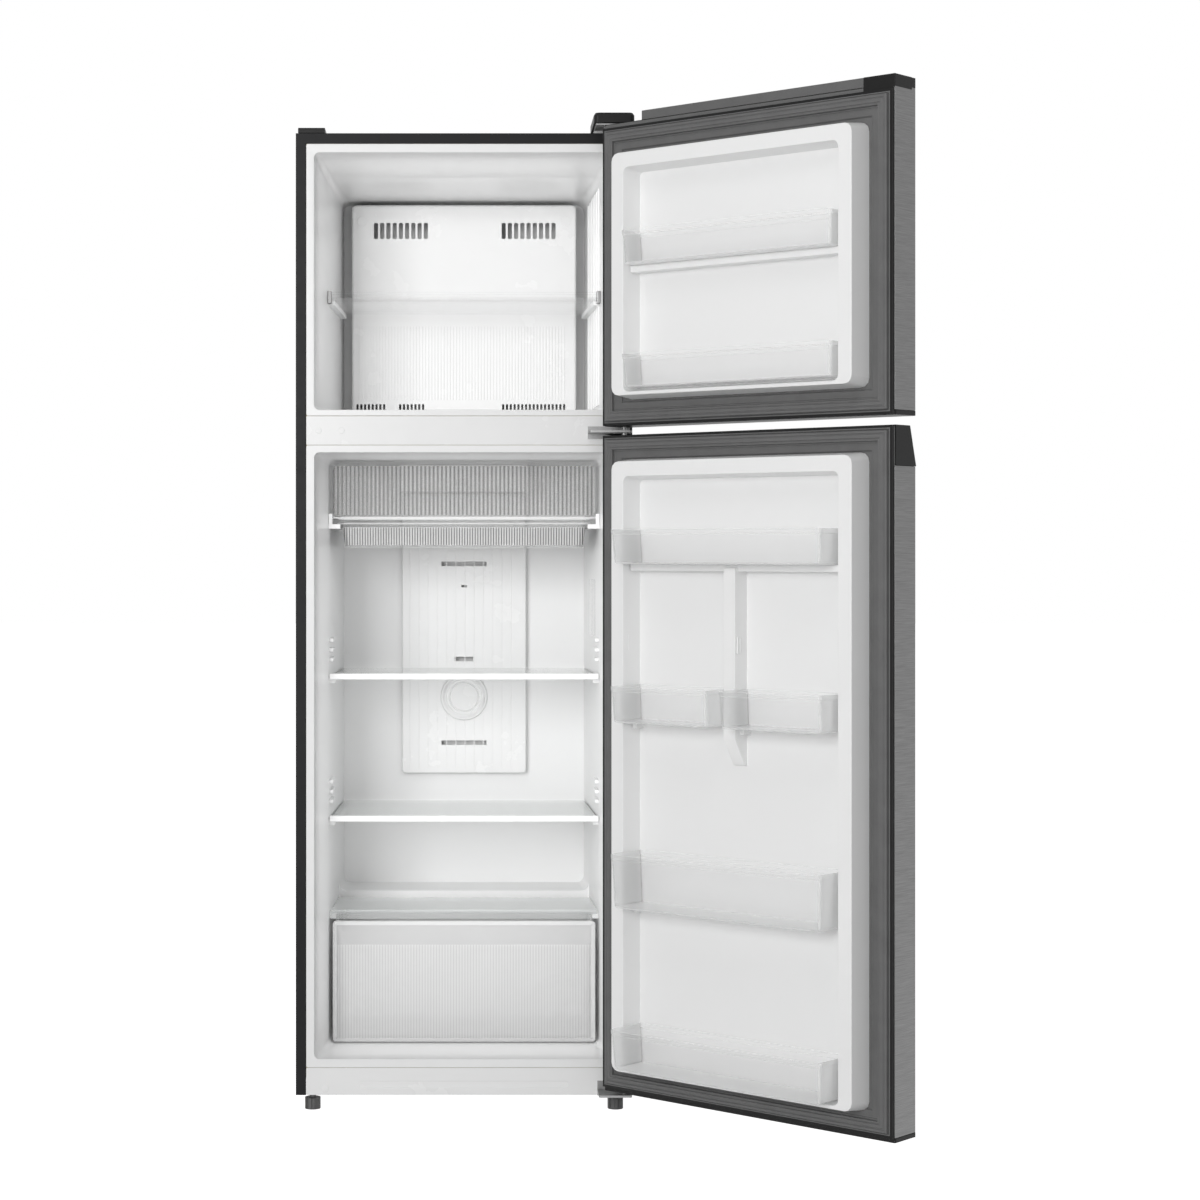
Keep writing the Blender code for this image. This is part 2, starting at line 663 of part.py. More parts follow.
def crisper_drawer():
    """Deep drawer with a wider front panel, standing on the liner's floor."""
    back = HUMP_FRONT - 24.0
    low, high = FLOOR + GAP, FLOOR + CRISPER_HEIGHT
    half = wall_half(back) - 6.0
    piece = tray("crisper_drawer", -half, half, CRISPER_FRONT - 2.0, back, low, high, 3.0, CLEAR, 8.0, 16.0)
    front = prism("front", "Y", rounded(-wall_half(TAPER_DEPTH) + 8.0, wall_half(TAPER_DEPTH) - 8.0,
                                        low + 3.0, high, 6.0),
                  CRISPER_FRONT - 6.0, CRISPER_FRONT - 0.5)
    return weld(piece, front)


# Doors

def door_skin(name, low, high):
    """Steel sheet folded round the front and both long edges of a door."""
    def profile(inset, half):
        r = 4.0 - inset
        left = [(-half + r - r * math.cos(a), DOOR_OUT + inset + r - r * math.sin(a))
                for a in (0.0, math.pi / 4, math.pi / 2)]
        return [(-half, DOOR_IN)] + left + [(-x, y) for x, y in left[::-1]] + [(half, DOOR_IN)]
    outline = profile(0.0, HALF) + profile(SHEET, HALF - SHEET)[::-1]
    return prism(name, "Z", outline, low, high, STEEL)


def dyke_rows(low, high, grow=0.0):
    """Outlines of a door liner's raised border, from its foot outwards and in again.

    The sill under the lowest rack is narrower than the other three sides.
    """
    top = DOOR_IN + DYKE_HEIGHT - grow
    floor = DOOR_IN + 4.0 - grow
    narrower = DYKE_WIDTH - DYKE_SILL
    rows = ((DOOR_IN - grow, 0.0 + grow, 0.0, 16.0), (top, DYKE_SLOPE + grow, 0.0, 14.0),
            (top, DYKE_SLOPE + DYKE_WIDTH - grow, narrower, 10.0),
            (floor, 2 * DYKE_SLOPE + DYKE_WIDTH - grow, narrower, 8.0))
    return [on_plane("Y", y, rounded(-DYKE_HALF + inset, DYKE_HALF - inset, low + inset - less,
                                     high - inset, r))
            for y, inset, less, r in rows]


def door_liner(name, low, high, dyke_low, dyke_high, extras):
    """Formed inner sheet of a door, with ledges and lugs that carry the racks."""
    half = HALF - SHEET - GAP
    rim = rounded(-half, half, low, high, 3.0)
    loops = dyke_rows(dyke_low, dyke_high, LINER)[::-1]
    loops += [on_plane("Y", DOOR_IN - LINER, rim), on_plane("Y", DOOR_IN, rim)]
    loops += dyke_rows(dyke_low, dyke_high)
    return weld(loft(name, loops, LINER_WHITE), *extras)


def door_foam(name, low, high, dyke_low, dyke_high, step=None):
    """Insulation of a door, with its edges eased. A step gives (level, depth) of a lower front part."""
    half = HALF - SHEET - GAP - (CAP_WALL / 2 if step else 0.0)
    ease = 3.0
    face, rear = DOOR_OUT + SHEET + GAP, DOOR_IN - LINER - GAP
    front_high, depth = step or (high, rear - ease)
    rows = [(face, ease, front_high - ease), (face + ease, 0.0, front_high), (depth, 0.0, front_high),
            (depth, 0.0, high), (rear, 0.0, high)]
    if not step:
        del rows[3]
    loops = [on_plane("Y", y, rounded(-half + inset, half - inset, low + inset, top, 2.0))
             for y, inset, top in rows]
    return loft(name, loops + dyke_rows(dyke_low, dyke_high, LINER + GAP), FOAM)


def gasket(name, low, high):
    """Magnetic seal: a ribbed ring round the inner face."""
    near, far = DOOR_IN + GAP, -SEAL_GAP
    rows = ((near, 0.0), (near + 5.0, 0.0), (near + 6.0, 3.0), (far, 3.0), (far, GASKET_WIDTH - 3.0),
            (near + 6.0, GASKET_WIDTH - 3.0), (near + 5.0, GASKET_WIDTH), (near, GASKET_WIDTH))
    half = HALF - GASKET_INSET
    loops = [on_plane("Y", y, rounded(-half + inset, half - inset, low + inset, high - inset, 1.0, 1))
             for y, inset in rows]
    return loft(name, loops, GREY, ring=True)


def lug(x0, x1, under, deep=24.0):
    """Moulded lug under one end of a rack."""
    return block("lug", x0, x1, DOOR_IN + 3.0, DOOR_IN + deep, under - 14.0, under - GAP)


def ledge(level):
    """Moulded step across the pocket, under a rack."""
    return block("ledge", -POCKET_HALF - 1.0, POCKET_HALF + 1.0, DOOR_IN + 3.0, DOOR_IN + 30.0,
                 level - 12.0, level - GAP)


def rack(name, x0, x1, low, high, reach):
    """Open rack that narrows towards its foot."""
    near, far = DOOR_IN + 4.0 + GAP, DOOR_IN + reach
    def ring(level, inset, radius, front):
        return on_plane("Z", level, rounded(x0 + inset, x1 - inset, near + inset, far - front, radius))
    wall = RACK_WALL
    loops = [ring(low, 0.0, 14.0, 6.0), ring(high, 0.0, 14.0, 0.0),
             ring(high, wall, 14.0 - wall, wall), ring(low + wall, wall, 14.0 - wall, 6.0 + wall)]
    return loft(name, loops, CLEAR)


def pin_hole(low, high):
    return turned("hole", "Z", (HINGE_X, HINGE_Y, 0.0), [(PIN + GAP, low), (PIN + GAP, high)], None, 20)


def freezer_door():
    """All the pieces of the upper door, built shut."""
    low, high = FREEZER_DOOR_BOTTOM, FREEZER_DOOR_TOP
    shoulder = SHELL_TOP + 4.0
    half = HALF - SHEET - GAP
    foam_low, foam_high = low + CAP + GAP, shoulder - CAP - GAP
    seal_low, seal_high = MULLION_TOP - 17.0, SHELL_TOP - 8.0
    dyke_low, dyke_high = FREEZER_FLOOR + 12.0, FREEZER_TOP - 18.0
    inner = POCKET_HALF - 1.5
    lower_level = dyke_low + DYKE_SILL + 2 * DYKE_SLOPE + RACK_SEAT
    upper_level = lower_level + FREEZER_RACK_RISE
    baskets = [rack(name, -inner, inner, level, level + FREEZER_RACK_HEIGHT, FREEZER_RACK_REACH)
               for name, level in (("freezer_rack_lower", lower_level), ("freezer_rack_upper", upper_level))]
    cap = block("freezer_door_top_cap", -half, half, DOOR_OUT + SHEET + GAP, DOOR_IN - LINER - GAP,
                shoulder - CAP, shoulder, CHARCOAL, 5.0)
    raised = block("raised", -HALF, HINGE_X - 65.0, DOOR_OUT, DOOR_IN, shoulder + GAP, high, None, 4.0)
    neck = block("neck", -half + 4.0, HINGE_X - 70.0, DOOR_OUT + 6.0, DOOR_IN - 6.0, shoulder - 2.0,
                 shoulder + 2.0)
    foot_cap = block("freezer_door_bottom_cap", -HALF, HALF, DOOR_OUT, DOOR_IN, low, low + CAP, BLACK, 4.0)
    return [
        door_skin("freezer_door_skin", low + CAP + GAP, shoulder),
        door_foam("freezer_door_foam", foam_low, foam_high, dyke_low, dyke_high),
        door_liner("freezer_door_liner", low + CAP + GAP, shoulder - 1.0, dyke_low, dyke_high,
                   [ledge(upper_level)]),
        gasket("freezer_door_gasket", seal_low, seal_high),
        cut(weld(cap, raised, neck), pin_hole(shoulder - CAP - 1.0, shoulder + 1.0)),
        cut(foot_cap, pin_hole(low - 1.0, low + CAP + 1.0)),
        *baskets,
    ]


def fridge_door():
    """All the pieces of the lower door, built shut."""
    low, high = DOOR_BOTTOM, FRIDGE_DOOR_TOP
    half = HALF - SHEET - GAP
    grip = high - GRIP_HEIGHT
    dyke_low, dyke_high = FRIDGE_FLOOR + 2.0, FRIDGE_TOP - 16.0
    inner = POCKET_HALF - 1.5
    top_level, middle_level = FRIDGE_FLOOR + TOP_RACK_RISE, FRIDGE_FLOOR + MIDDLE_RACK_RISE
    bottle_level = FRIDGE_FLOOR + BOTTLE_RACK_RISE
    bottom_level = dyke_low + DYKE_SILL + 2 * DYKE_SLOPE + RACK_SEAT
    post = 12.0
    centre = prism("centre", "X", [(DOOR_IN + 3.0, top_level - 6.0), (DOOR_IN + 38.0, top_level - 6.0),
                                   (DOOR_IN + 38.0, middle_level - 20.0),
                                   (DOOR_IN + 10.0, middle_level - 66.0),
                                   (DOOR_IN + 3.0, middle_level - 66.0)], -post, post)
    extras = [centre, ledge(top_level)]
    for side in (-1, 1):
        for level in (middle_level, bottle_level):
            ends = sorted((side * (POCKET_HALF + 1.0), side * (POCKET_HALF - 8.0)))
            extras.append(lug(*ends, level))
        ends = sorted((side * (post - 2.0), side * (post + 8.0)))
        extras.append(lug(*ends, middle_level))
    reach = FRIDGE_RACK_REACH
    strip = prism("fridge_door_top_cap", "X",
                  [(DOOR_OUT, grip + GAP), (DOOR_OUT + GRIP_SLOPE, high), (DOOR_IN - LINER - GAP, high),
                   (DOOR_IN - LINER - GAP, grip + GAP)], -HALF, HALF, BLACK)
    back_step = HINGE_Y + 12.0
    recess = block("recess", CAP_WALL - HALF, HALF - CAP_WALL, back_step, DOOR_IN, grip - 1.0,
                   high - CAP_WALL)
    foot_cap = block("fridge_door_bottom_cap", -HALF, HALF, DOOR_OUT, DOOR_IN, low, low + CAP, BLACK, 4.0)
    return [
        door_skin("fridge_door_skin", low + CAP + GAP, grip),
        door_foam("fridge_door_foam", low + CAP + GAP, high - CAP_WALL - GAP, dyke_low, dyke_high,
                  (grip - GAP, back_step + GAP)),
        door_liner("fridge_door_liner", low + CAP + GAP, high - 1.0, dyke_low, dyke_high, extras),
        gasket("fridge_door_gasket", KICK_TOP - 15.0, MULLION + 9.0),
        cut(strip, recess, pin_hole(high - 12.0, high + 1.0)),
        cut(foot_cap, pin_hole(low - 1.0, low + CAP + 1.0)),
        rack("fridge_rack_top", -inner, inner, top_level, top_level + TOP_RACK_HEIGHT, reach),
        rack("fridge_rack_middle_left", -inner, -post - 1.5, middle_level,
             middle_level + MIDDLE_RACK_HEIGHT, reach),
        rack("fridge_rack_middle_right", post + 1.5, inner, middle_level,
             middle_level + MIDDLE_RACK_HEIGHT, reach),
        rack("fridge_rack_bottle", -inner, inner, bottle_level, bottle_level + BOTTLE_RACK_HEIGHT, reach),
        rack("fridge_rack_bottom", -inner, inner, bottom_level, bottom_level + BOTTOM_RACK_HEIGHT, reach),
    ]


# Hinges and top trim

def pin(low, high):
    return turned("pin", "Z", (HINGE_X, HINGE_Y, 0.0), [(PIN, low), (PIN, high)], None, 20)


def top_hinge():
    """Stepped plate on the cabinet's top with a pin down into the upper door."""
    plate = SHELL_TOP + 5.0
    side = [(5.0, SHELL_TOP + GAP), (66.0, SHELL_TOP + GAP), (66.0, plate + 3.0),
            (HINGE_Y - 12.0, plate + 3.0), (HINGE_Y - 12.0, plate), (5.0, plate)]
    piece = prism("top_hinge", "X", side, HINGE_X - 50.0, HALF - 4.0, BRACKET)
    return weld(piece, pin(SHELL_TOP - 2.0, plate + 1.0))


def top_hinge_cover():
    """Moulded cover over the top hinge, open underneath."""
    low, high = SHELL_TOP + 8.0 + GAP, SHELL_TOP + 27.0
    x0, x1, y0, y1 = HINGE_X - 54.0, HALF, HINGE_Y - 16.0, 72.0
    def ring(level, inset, radius):
        return on_plane("Z", level, rounded(x0 + inset, x1 - inset, y0 + inset, y1 - inset, radius))
    loops = [ring(low, 2.0, 6.0), ring(high - 2.0, 4.0, 6.0)]
    outer = [ring(high, 3.0, 8.0), ring(high - 5.0, 0.0, 8.0), ring(low, 0.0, 8.0)]
    return loft("top_hinge_cover", loops[::-1] + outer, BLACK)


def middle_hinge():
    """Angle bracket between the doors, with a pin up and a pin down."""
    plate = FRIDGE_DOOR_TOP + DOOR_GAP / 2 - 2.0
    piece = block("middle_hinge", HINGE_X - 62.0, HALF - 4.0, HINGE_Y - 12.0, -GAP, plate, plate + 4.0,
                  BRACKET, 4.0)
    leg = block("leg", HINGE_X - 62.0, HALF - 4.0, -3.0, -GAP, FRIDGE_DOOR_TOP - 3.0,
                FREEZER_DOOR_BOTTOM + 3.0)
    return weld(piece, leg, pin(FRIDGE_DOOR_TOP - 8.0, FREEZER_DOOR_BOTTOM + CAP - 1.0))


def bottom_hinge():
    plate = DOOR_BOTTOM - 14.0
    piece = block("bottom_hinge", HINGE_X - 45.0, HALF - 4.0, HINGE_Y - 12.0, -GAP, plate, plate + 4.0,
                  BRACKET, 4.0)
    leg = block("leg", HINGE_X - 45.0, HALF - 4.0, -3.0, -GAP, SHELL_BOTTOM, DOOR_BOTTOM + 4.0)
    return weld(piece, leg, pin(plate + 1.0, DOOR_BOTTOM + CAP - 2.0))


def corner_cap():
    """Low sloped plug on the top's front left corner."""
    side = [(0.0, SHELL_TOP + GAP), (60.0, SHELL_TOP + GAP), (60.0, SHELL_TOP + 6.0),
            (48.0, SHELL_TOP + 10.0), (2.0, SHELL_TOP + 10.0), (0.0, SHELL_TOP + 8.0)]
    return prism("corner_cap", "X", side, -HALF + 4.0, -HALF + 52.0, BLACK)


# Assembly

def empty(name, place, parent):
    """A joint's own empty, on its axis."""
    spot = bpy.data.objects.new(name, None)
    spot.location = [MM * c for c in place]
    spot.parent = parent
    bpy.context.scene.collection.objects.link(spot)
    return spot


def move_origin(piece, place, parent):
    """Put a piece's origin at a place of the cabinet's frame without moving its surface."""
    piece.data.transform(Matrix.Translation(-Vector(place)))
    piece.parent = parent
    return piece


def fix(pieces, cabinet):
    """Fixed pieces: each stands at its own middle."""
    for piece in pieces:
        low = Vector([min(v.co[k] for v in piece.data.vertices) for k in range(3)])
        high = Vector([max(v.co[k] for v in piece.data.vertices) for k in range(3)])
        move_origin(piece, (low + high) / 2, cabinet).location = (low + high) / 2


def hang(pieces, spot):
    """Moving pieces: each has its origin on the joint's empty."""
    for piece in pieces:
        move_origin(piece, spot.location, spot)


def stand_on_origin(cabinet):
    """Shift the whole assembly so that the middle of its box's underside is the origin."""
    bpy.context.view_layer.update()
    corners_seen = [piece.matrix_world @ vert.co for piece in bpy.data.objects if piece.type == "MESH"
                    for vert in piece.data.vertices]
    low = [min(c[k] for c in corners_seen) for k in range(3)]
    high = [max(c[k] for c in corners_seen) for k in range(3)]
    cabinet.location = (-(low[0] + high[0]) / 2, -(low[1] + high[1]) / 2, -low[2])


def build():
    for old in list(bpy.data.objects):
        bpy.data.objects.remove(old)
    cabinet = empty("cabinet", (0, 0, 0), None)
    shelf_back = LINER_BACK - SHELF_BACK_GAP
    shelf_levels = [FRIDGE_FLOOR + rise for rise in SHELF_RISES]
    lid_under = FLOOR + CRISPER_HEIGHT + 3.0 + 8.0
    ribs = [(SHELF_FRONT + 20.0, shelf_back, level + 2.0 - GAP) for level in shelf_levels]
    ribs.append((CRISPER_FRONT + 20.0, HUMP_FRONT - 30.0, lid_under - GAP))
    freezer_rib = (FREEZER_SHELF_FRONT + 20.0, LINER_BACK - COVER_GAP_BACK - 10.0,
                   FREEZER_FLOOR + FREEZER_SHELF_RISE + 4.0 - GAP)
    axle_y = DEPTH - 34.0
    fixed = [
        cabinet_shell(), cabinet_foam(), back_panel(), mullion_cover(), kick_panel(), base_plate(),
        machine_plate(axle_y), rear_cover(), compressor(), drain_pan(),
        liner("freezer_liner", freezer_sections, MULLION_TOP + GAP, SHELL_TOP - FLANGE_TOP - GAP,
              [freezer_rib]),
        liner("fridge_liner", fridge_sections, KICK_TOP + GAP, MULLION - GAP, ribs),
        evaporator_cover(), evaporator(), fan_motor(), freezer_shelf(),
        duct_cover(), deodoriser_cap(), control_box(), lamp_cover(),
        chiller_rail("chiller_rail_left", -1), chiller_rail("chiller_rail_right", 1), crisper_cover(),
        top_hinge(), top_hinge_cover(), middle_hinge(), bottom_hinge(), corner_cap(),
    ]
    for name, level in zip(("lower", "upper"), shelf_levels):
        fixed.append(shelf_glass(f"shelf_{name}_glass", SHELF_FRONT + 9.0 + GAP, shelf_back, level + 2.0))
        fixed.append(shelf_trim(f"shelf_{name}_trim", SHELF_FRONT, level, SHELF_TRIM_HEIGHT))
    fix(fixed, cabinet)

    rail, tray_low, flap_axis = chiller_levels()
    hang([chiller_flap()], empty("flap_hinge", (0.0, SHELF_FRONT, flap_axis), cabinet))
    hang([chiller_tray()], empty("tray_slide", (0.0, SHELF_FRONT, rail), cabinet))
    hang([crisper_drawer()], empty("drawer_slide", (0.0, CRISPER_FRONT, FLOOR), cabinet))
    hang([fan()], empty("fan_spin", fan_centre(), cabinet))
    for name, side in (("left", -1), ("right", 1)):
        knob = empty(f"foot_{name}_turn", (side * (HALF - FOOT_INSET), 24.0, 0.0), cabinet)
        hang([foot(f"front_foot_{name}", side, 24.0)], knob)
        wheel = empty(f"roller_{name}_turn", (side * (HALF - SHEET - GAP - 33.0), axle_y, ROLLER_RADIUS),
                      cabinet)
        hang([roller(f"rear_roller_{name}", side, axle_y)], wheel)
    for name, pieces in (("freezer", freezer_door()), ("fridge", fridge_door())):
        hinge = empty(f"{name}_door_hinge", (HINGE_X, HINGE_Y, 0.0), cabinet)
        hang(pieces, hinge)
        hinge.rotation_euler.z = math.radians(OPEN_ANGLE)
    stand_on_origin(cabinet)


build()
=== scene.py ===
"""Two-door refrigerator with the freezer on top, both doors standing open: the looks.

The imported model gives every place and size. A piece is made in millimetres in the cabinet's own
frame (X right from the cabinet's middle, Y back from its front face, Z up from the floor), and the
pieces of a door are made with the door shut and then swung open about its hinge.
"""

import json
import math
from contextlib import contextmanager

import bpy
from mathutils import Matrix, Vector


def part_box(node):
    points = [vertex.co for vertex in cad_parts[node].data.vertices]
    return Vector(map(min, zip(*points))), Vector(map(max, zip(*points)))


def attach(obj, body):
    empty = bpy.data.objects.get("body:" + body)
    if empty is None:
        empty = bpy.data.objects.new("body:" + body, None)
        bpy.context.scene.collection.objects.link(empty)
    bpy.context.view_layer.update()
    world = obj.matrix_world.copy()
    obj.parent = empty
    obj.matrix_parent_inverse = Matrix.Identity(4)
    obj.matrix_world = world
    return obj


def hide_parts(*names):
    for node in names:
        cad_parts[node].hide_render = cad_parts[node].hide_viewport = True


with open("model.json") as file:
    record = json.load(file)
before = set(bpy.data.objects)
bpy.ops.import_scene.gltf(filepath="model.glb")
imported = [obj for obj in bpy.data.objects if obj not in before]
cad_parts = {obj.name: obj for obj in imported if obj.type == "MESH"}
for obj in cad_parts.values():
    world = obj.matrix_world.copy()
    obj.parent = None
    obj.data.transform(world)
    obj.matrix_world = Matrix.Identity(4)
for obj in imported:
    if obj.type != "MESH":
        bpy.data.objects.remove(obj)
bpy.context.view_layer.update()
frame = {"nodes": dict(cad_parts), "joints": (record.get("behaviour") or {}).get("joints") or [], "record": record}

MM = 0.001
NODES = frame["nodes"]
BODY_OF = {node: body for body, nodes in frame["record"]["behaviour"]["bodies"].items() for node in nodes}
SLOT_OF = {part["node"]: part["material_slot"] for part in frame["record"]["subparts"]}
DOORS = ("freezer_door", "fridge_door")
SHELL_LOW, SHELL_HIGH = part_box("cabinet_shell")
ORIGIN = Vector(((SHELL_LOW.x + SHELL_HIGH.x) / 2, SHELL_LOW.y, 0))  # middle of the cabinet's front edge
JOINTS = {joint["child"]: joint for joint in frame["joints"]}


# ---------------------------------------------------------------- places

def place_of(body):
    """From millimetres in the cabinet's frame, door shut, to the world as it stands."""
    to_world = Matrix.Translation(ORIGIN) @ Matrix.Scale(MM, 4)
    if body not in DOORS:
        return to_world
    hinge = Matrix.Translation(Vector(JOINTS[body]["pos_m"]))
    swing = Matrix.Rotation(math.radians(-JOINTS[body]["range_deg"][0]), 4, "Z")
    return hinge @ swing @ hinge.inverted() @ to_world


def span(node):
    """Lowest and highest corner of a CAD node in the cabinet's frame, door shut, in millimetres."""
    back = place_of(BODY_OF[node]).inverted()
    corners = [back @ v.co for v in NODES[node].data.vertices]
    low = Vector([min(c[i] for c in corners) for i in range(3)])
    high = Vector([max(c[i] for c in corners) for i in range(3)])
    return low, high


# ---------------------------------------------------------------- modelling

def only(obj):
    """Makes obj the one selected and active object."""
    bpy.ops.object.select_all(action="DESELECT")
    obj.select_set(True)
    bpy.context.view_layer.objects.active = obj
    return obj


def named(name):
    obj = bpy.context.object
    obj.name = obj.data.name = name
    return obj


def block(name, low, high):
    """A box between two corners."""
    low, high = Vector(low), Vector(high)
    bpy.ops.object.select_all(action="DESELECT")
    bpy.ops.mesh.primitive_cube_add(size=1, location=(low + high) / 2, scale=high - low)
    bpy.ops.object.transform_apply(location=True, rotation=True, scale=True)
    return named(name)


def drum(name, centre, radius, length, axis="Y", sides=32):
    """A round bar along an axis."""
    turn = {"X": (0, math.pi / 2, 0), "Y": (math.pi / 2, 0, 0), "Z": (0, 0, 0)}[axis]
    bpy.ops.object.select_all(action="DESELECT")
    bpy.ops.mesh.primitive_cone_add(vertices=sides, radius1=radius, radius2=radius, depth=length,
                                    location=centre, rotation=turn)
    bpy.ops.object.transform_apply(location=True, rotation=True, scale=True)
    return named(name)


@contextmanager
def editing(obj, faces=None, edges=None, points=None):
    """Edit mode on obj, with what a rule chooses selected: faces by centre and normal, edges by their two
    ends, or points."""
    only(obj)
    mesh = obj.data
    for items in (mesh.vertices, mesh.edges, mesh.polygons):
        items.foreach_set("select", [False] * len(items))
    bpy.context.tool_settings.mesh_select_mode = (points is not None, edges is not None, faces is not None)
    if faces:
        for face in mesh.polygons:
            face.select = bool(faces(face.center, face.normal))
    if edges:
        for edge in mesh.edges:
            edge.select = bool(edges(*(mesh.vertices[i].co for i in edge.vertices)))
    if points:
        for point in mesh.vertices:
            point.select = bool(points(point.co))
    bpy.ops.object.mode_set(mode="EDIT")
    yield
    bpy.ops.object.mode_set(mode="OBJECT")


def modify(obj, kind, **settings):
    """Adds a modifier, sets it and applies it."""
    only(obj)
    bpy.ops.object.modifier_add(type=kind)
    added = obj.modifiers[-1]
    for key, value in settings.items():
        setattr(added, key, value)
    bpy.ops.object.modifier_apply(modifier=added.name)
    return obj


def soften(obj, radius, segments=2, angle=35):
    """Rounds the sharp edges of a piece."""
    return modify(obj, "BEVEL", width=radius, segments=segments, limit_method="ANGLE",
                  angle_limit=math.radians(angle), harden_normals=False)


def joined(obj, parts):
    """Several pieces as one."""
    only(obj)
    for part in parts:
        part.select_set(True)
    bpy.ops.object.join()
    return obj


def cut(obj, cutters):
    """Takes the cutters' shape out of obj."""
    cutter = joined(cutters[0], cutters[1:])
    modify(obj, "BOOLEAN", operation="DIFFERENCE", object=cutter, solver="EXACT", use_self=len(cutters) > 1)
    bpy.data.objects.remove(cutter)
    return obj


def drawn_from(node):
    """A copy of a CAD node as one merged surface, in the cabinet's frame, ready to be worked on."""
    obj = NODES[node].copy()
    obj.data = NODES[node].data.copy()
    obj.parent = None
    bpy.context.scene.collection.objects.link(obj)
    obj.matrix_world = place_of(BODY_OF[node]).inverted()
    for key in list(obj.keys()):
        if key.startswith("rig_"):
            del obj[key]
    only(obj)
    obj.data.materials.clear()
    bpy.ops.object.transform_apply(location=True, rotation=True, scale=True)
    obj.name = obj.data.name = node + "_surface"
    with editing(obj, faces=lambda centre, normal: True):
        bpy.ops.mesh.remove_doubles(threshold=0.005)
        bpy.ops.mesh.dissolve_limited(angle_limit=math.radians(0.6))
        bpy.ops.mesh.set_normals_from_faces()
    return obj


def finished(obj, material, node=None, body=None, smooth=35, second=None, second_where=None):
    """Puts a piece in the world, gives it its finish and lets it ride on its body.

    A second finish goes on the faces that a rule on (centre, normal) chooses.
    """
    body = body or BODY_OF[node]
    chosen = [bool(second and second_where(face.center, face.normal)) for face in obj.data.polygons]
    obj.matrix_world = place_of(body) @ obj.matrix_world
    only(obj)
    bpy.ops.object.transform_apply(location=True, rotation=True, scale=True)
    obj.data.materials.clear()
    obj.data.materials.append(material)
    bpy.ops.object.shade_smooth_by_angle(angle=math.radians(smooth))
    modify(obj, "WEIGHTED_NORMAL", keep_sharp=True)
    if second:
        obj.data.materials.append(second)
        obj.data.polygons.foreach_set("material_index", [int(mark) for mark in chosen])
    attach(obj, body)
    if node:
        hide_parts(node)
    return obj


# ---------------------------------------------------------------- finishes

class Finish:
    """A procedural material on one Principled shader, built up a layer at a time."""

    def __init__(self, name, **sockets):
        self.material = bpy.data.materials.new(name)
        self.material.use_nodes = True
        self.nodes = self.material.node_tree.nodes
        self.links = self.material.node_tree.links
        self.shader = self.nodes["Principled BSDF"]
        self.place = self.nodes.new("ShaderNodeTexCoord").outputs["Object"]
        self.height = None
        for key, value in sockets.items():
            self.shader.inputs[key.replace("_", " ")].default_value = value

    def node(self, kind, inputs=None, **settings):
        made = self.nodes.new("ShaderNode" + kind)
        for key, value in settings.items():
            setattr(made, key, value)
        for key, value in (inputs or {}).items():
            if isinstance(value, bpy.types.NodeSocket):
                self.links.new(value, made.inputs[key])
            else:
                made.inputs[key].default_value = value
        return made

    def noise(self, size, stretch=(1, 1, 1), detail=4.0, roughness=0.55):
        """Cloudy variation with features of about a size in millimetres, drawn out along some axes."""
        scale = [1 / (size * MM * s) for s in stretch]
        moved = self.node("Mapping", {"Vector": self.place, "Scale": scale})
        return self.node("TexNoise", {"Vector": moved.outputs[0], "Scale": 1.0, "Detail": detail,
                                      "Roughness": roughness}).outputs["Fac"]

    def cells(self, size):
        """Small rounded grains of about a size in millimetres."""
        return self.node("TexVoronoi", {"Vector": self.place, "Scale": 1 / (size * MM)}).outputs["Distance"]

    def between(self, field, low, high, start=0.15, end=0.85):
        return self.node("MapRange", {"Value": field, "From Min": start, "From Max": end,
                                      "To Min": low, "To Max": high}).outputs["Result"]

    def colour(self, field, low, high, start=0.15, end=0.85):
        ramp = self.node("ValToRGB", {"Fac": field})
        ramp.color_ramp.elements[0].position, ramp.color_ramp.elements[0].color = start, (*low, 1)
        ramp.color_ramp.elements[1].position, ramp.color_ramp.elements[1].color = end, (*high, 1)
        self.links.new(ramp.outputs["Color"], self.shader.inputs["Base Color"])
        return self

    def roughness(self, field, low, high):
        self.links.new(self.between(field, low, high), self.shader.inputs["Roughness"])
        return self

    def bump(self, field, depth, strength=1.0):
        """Raises the surface by the field, depth in millimetres, on top of any bump before it."""
        inputs = {"Height": field, "Distance": depth * MM, "Strength": strength}
        if self.height:
            inputs["Normal"] = self.height
        self.height = self.node("Bump", inputs).outputs["Normal"]
        self.links.new(self.height, self.shader.inputs["Normal"])
        return self


def grey(level):
    return (level, level, level)


def liner_plastic():
    """Vacuum-formed white sheet with a soft gloss."""
    f = Finish("liner_plastic", Specular_IOR_Level=0.5)
    return f.colour(f.noise(260), (0.835, 0.838, 0.838), (0.85, 0.85, 0.848)).roughness(
        f.noise(90), 0.27, 0.31).bump(f.noise(2.5), 0.004, 0.4).material


def moulded_white():
    """Injection-moulded white fittings, a little glossier than the liner."""
    f = Finish("moulded_white")
    return f.colour(f.noise(160), (0.82, 0.822, 0.822), (0.84, 0.84, 0.838)).roughness(
        f.noise(60), 0.24, 0.29).bump(f.noise(1.6), 0.004, 0.4).material


def cabinet_paint():
    """Dark grey paint on steel sheet, with the fine pimple of a coated coil."""
    f = Finish("cabinet_paint", Specular_IOR_Level=0.14)
    return f.colour(f.noise(180), (0.008, 0.008, 0.0085), (0.012, 0.012, 0.013)).roughness(
        f.noise(14), 0.36, 0.48).bump(f.cells(1.1), 0.05, 0.5).material


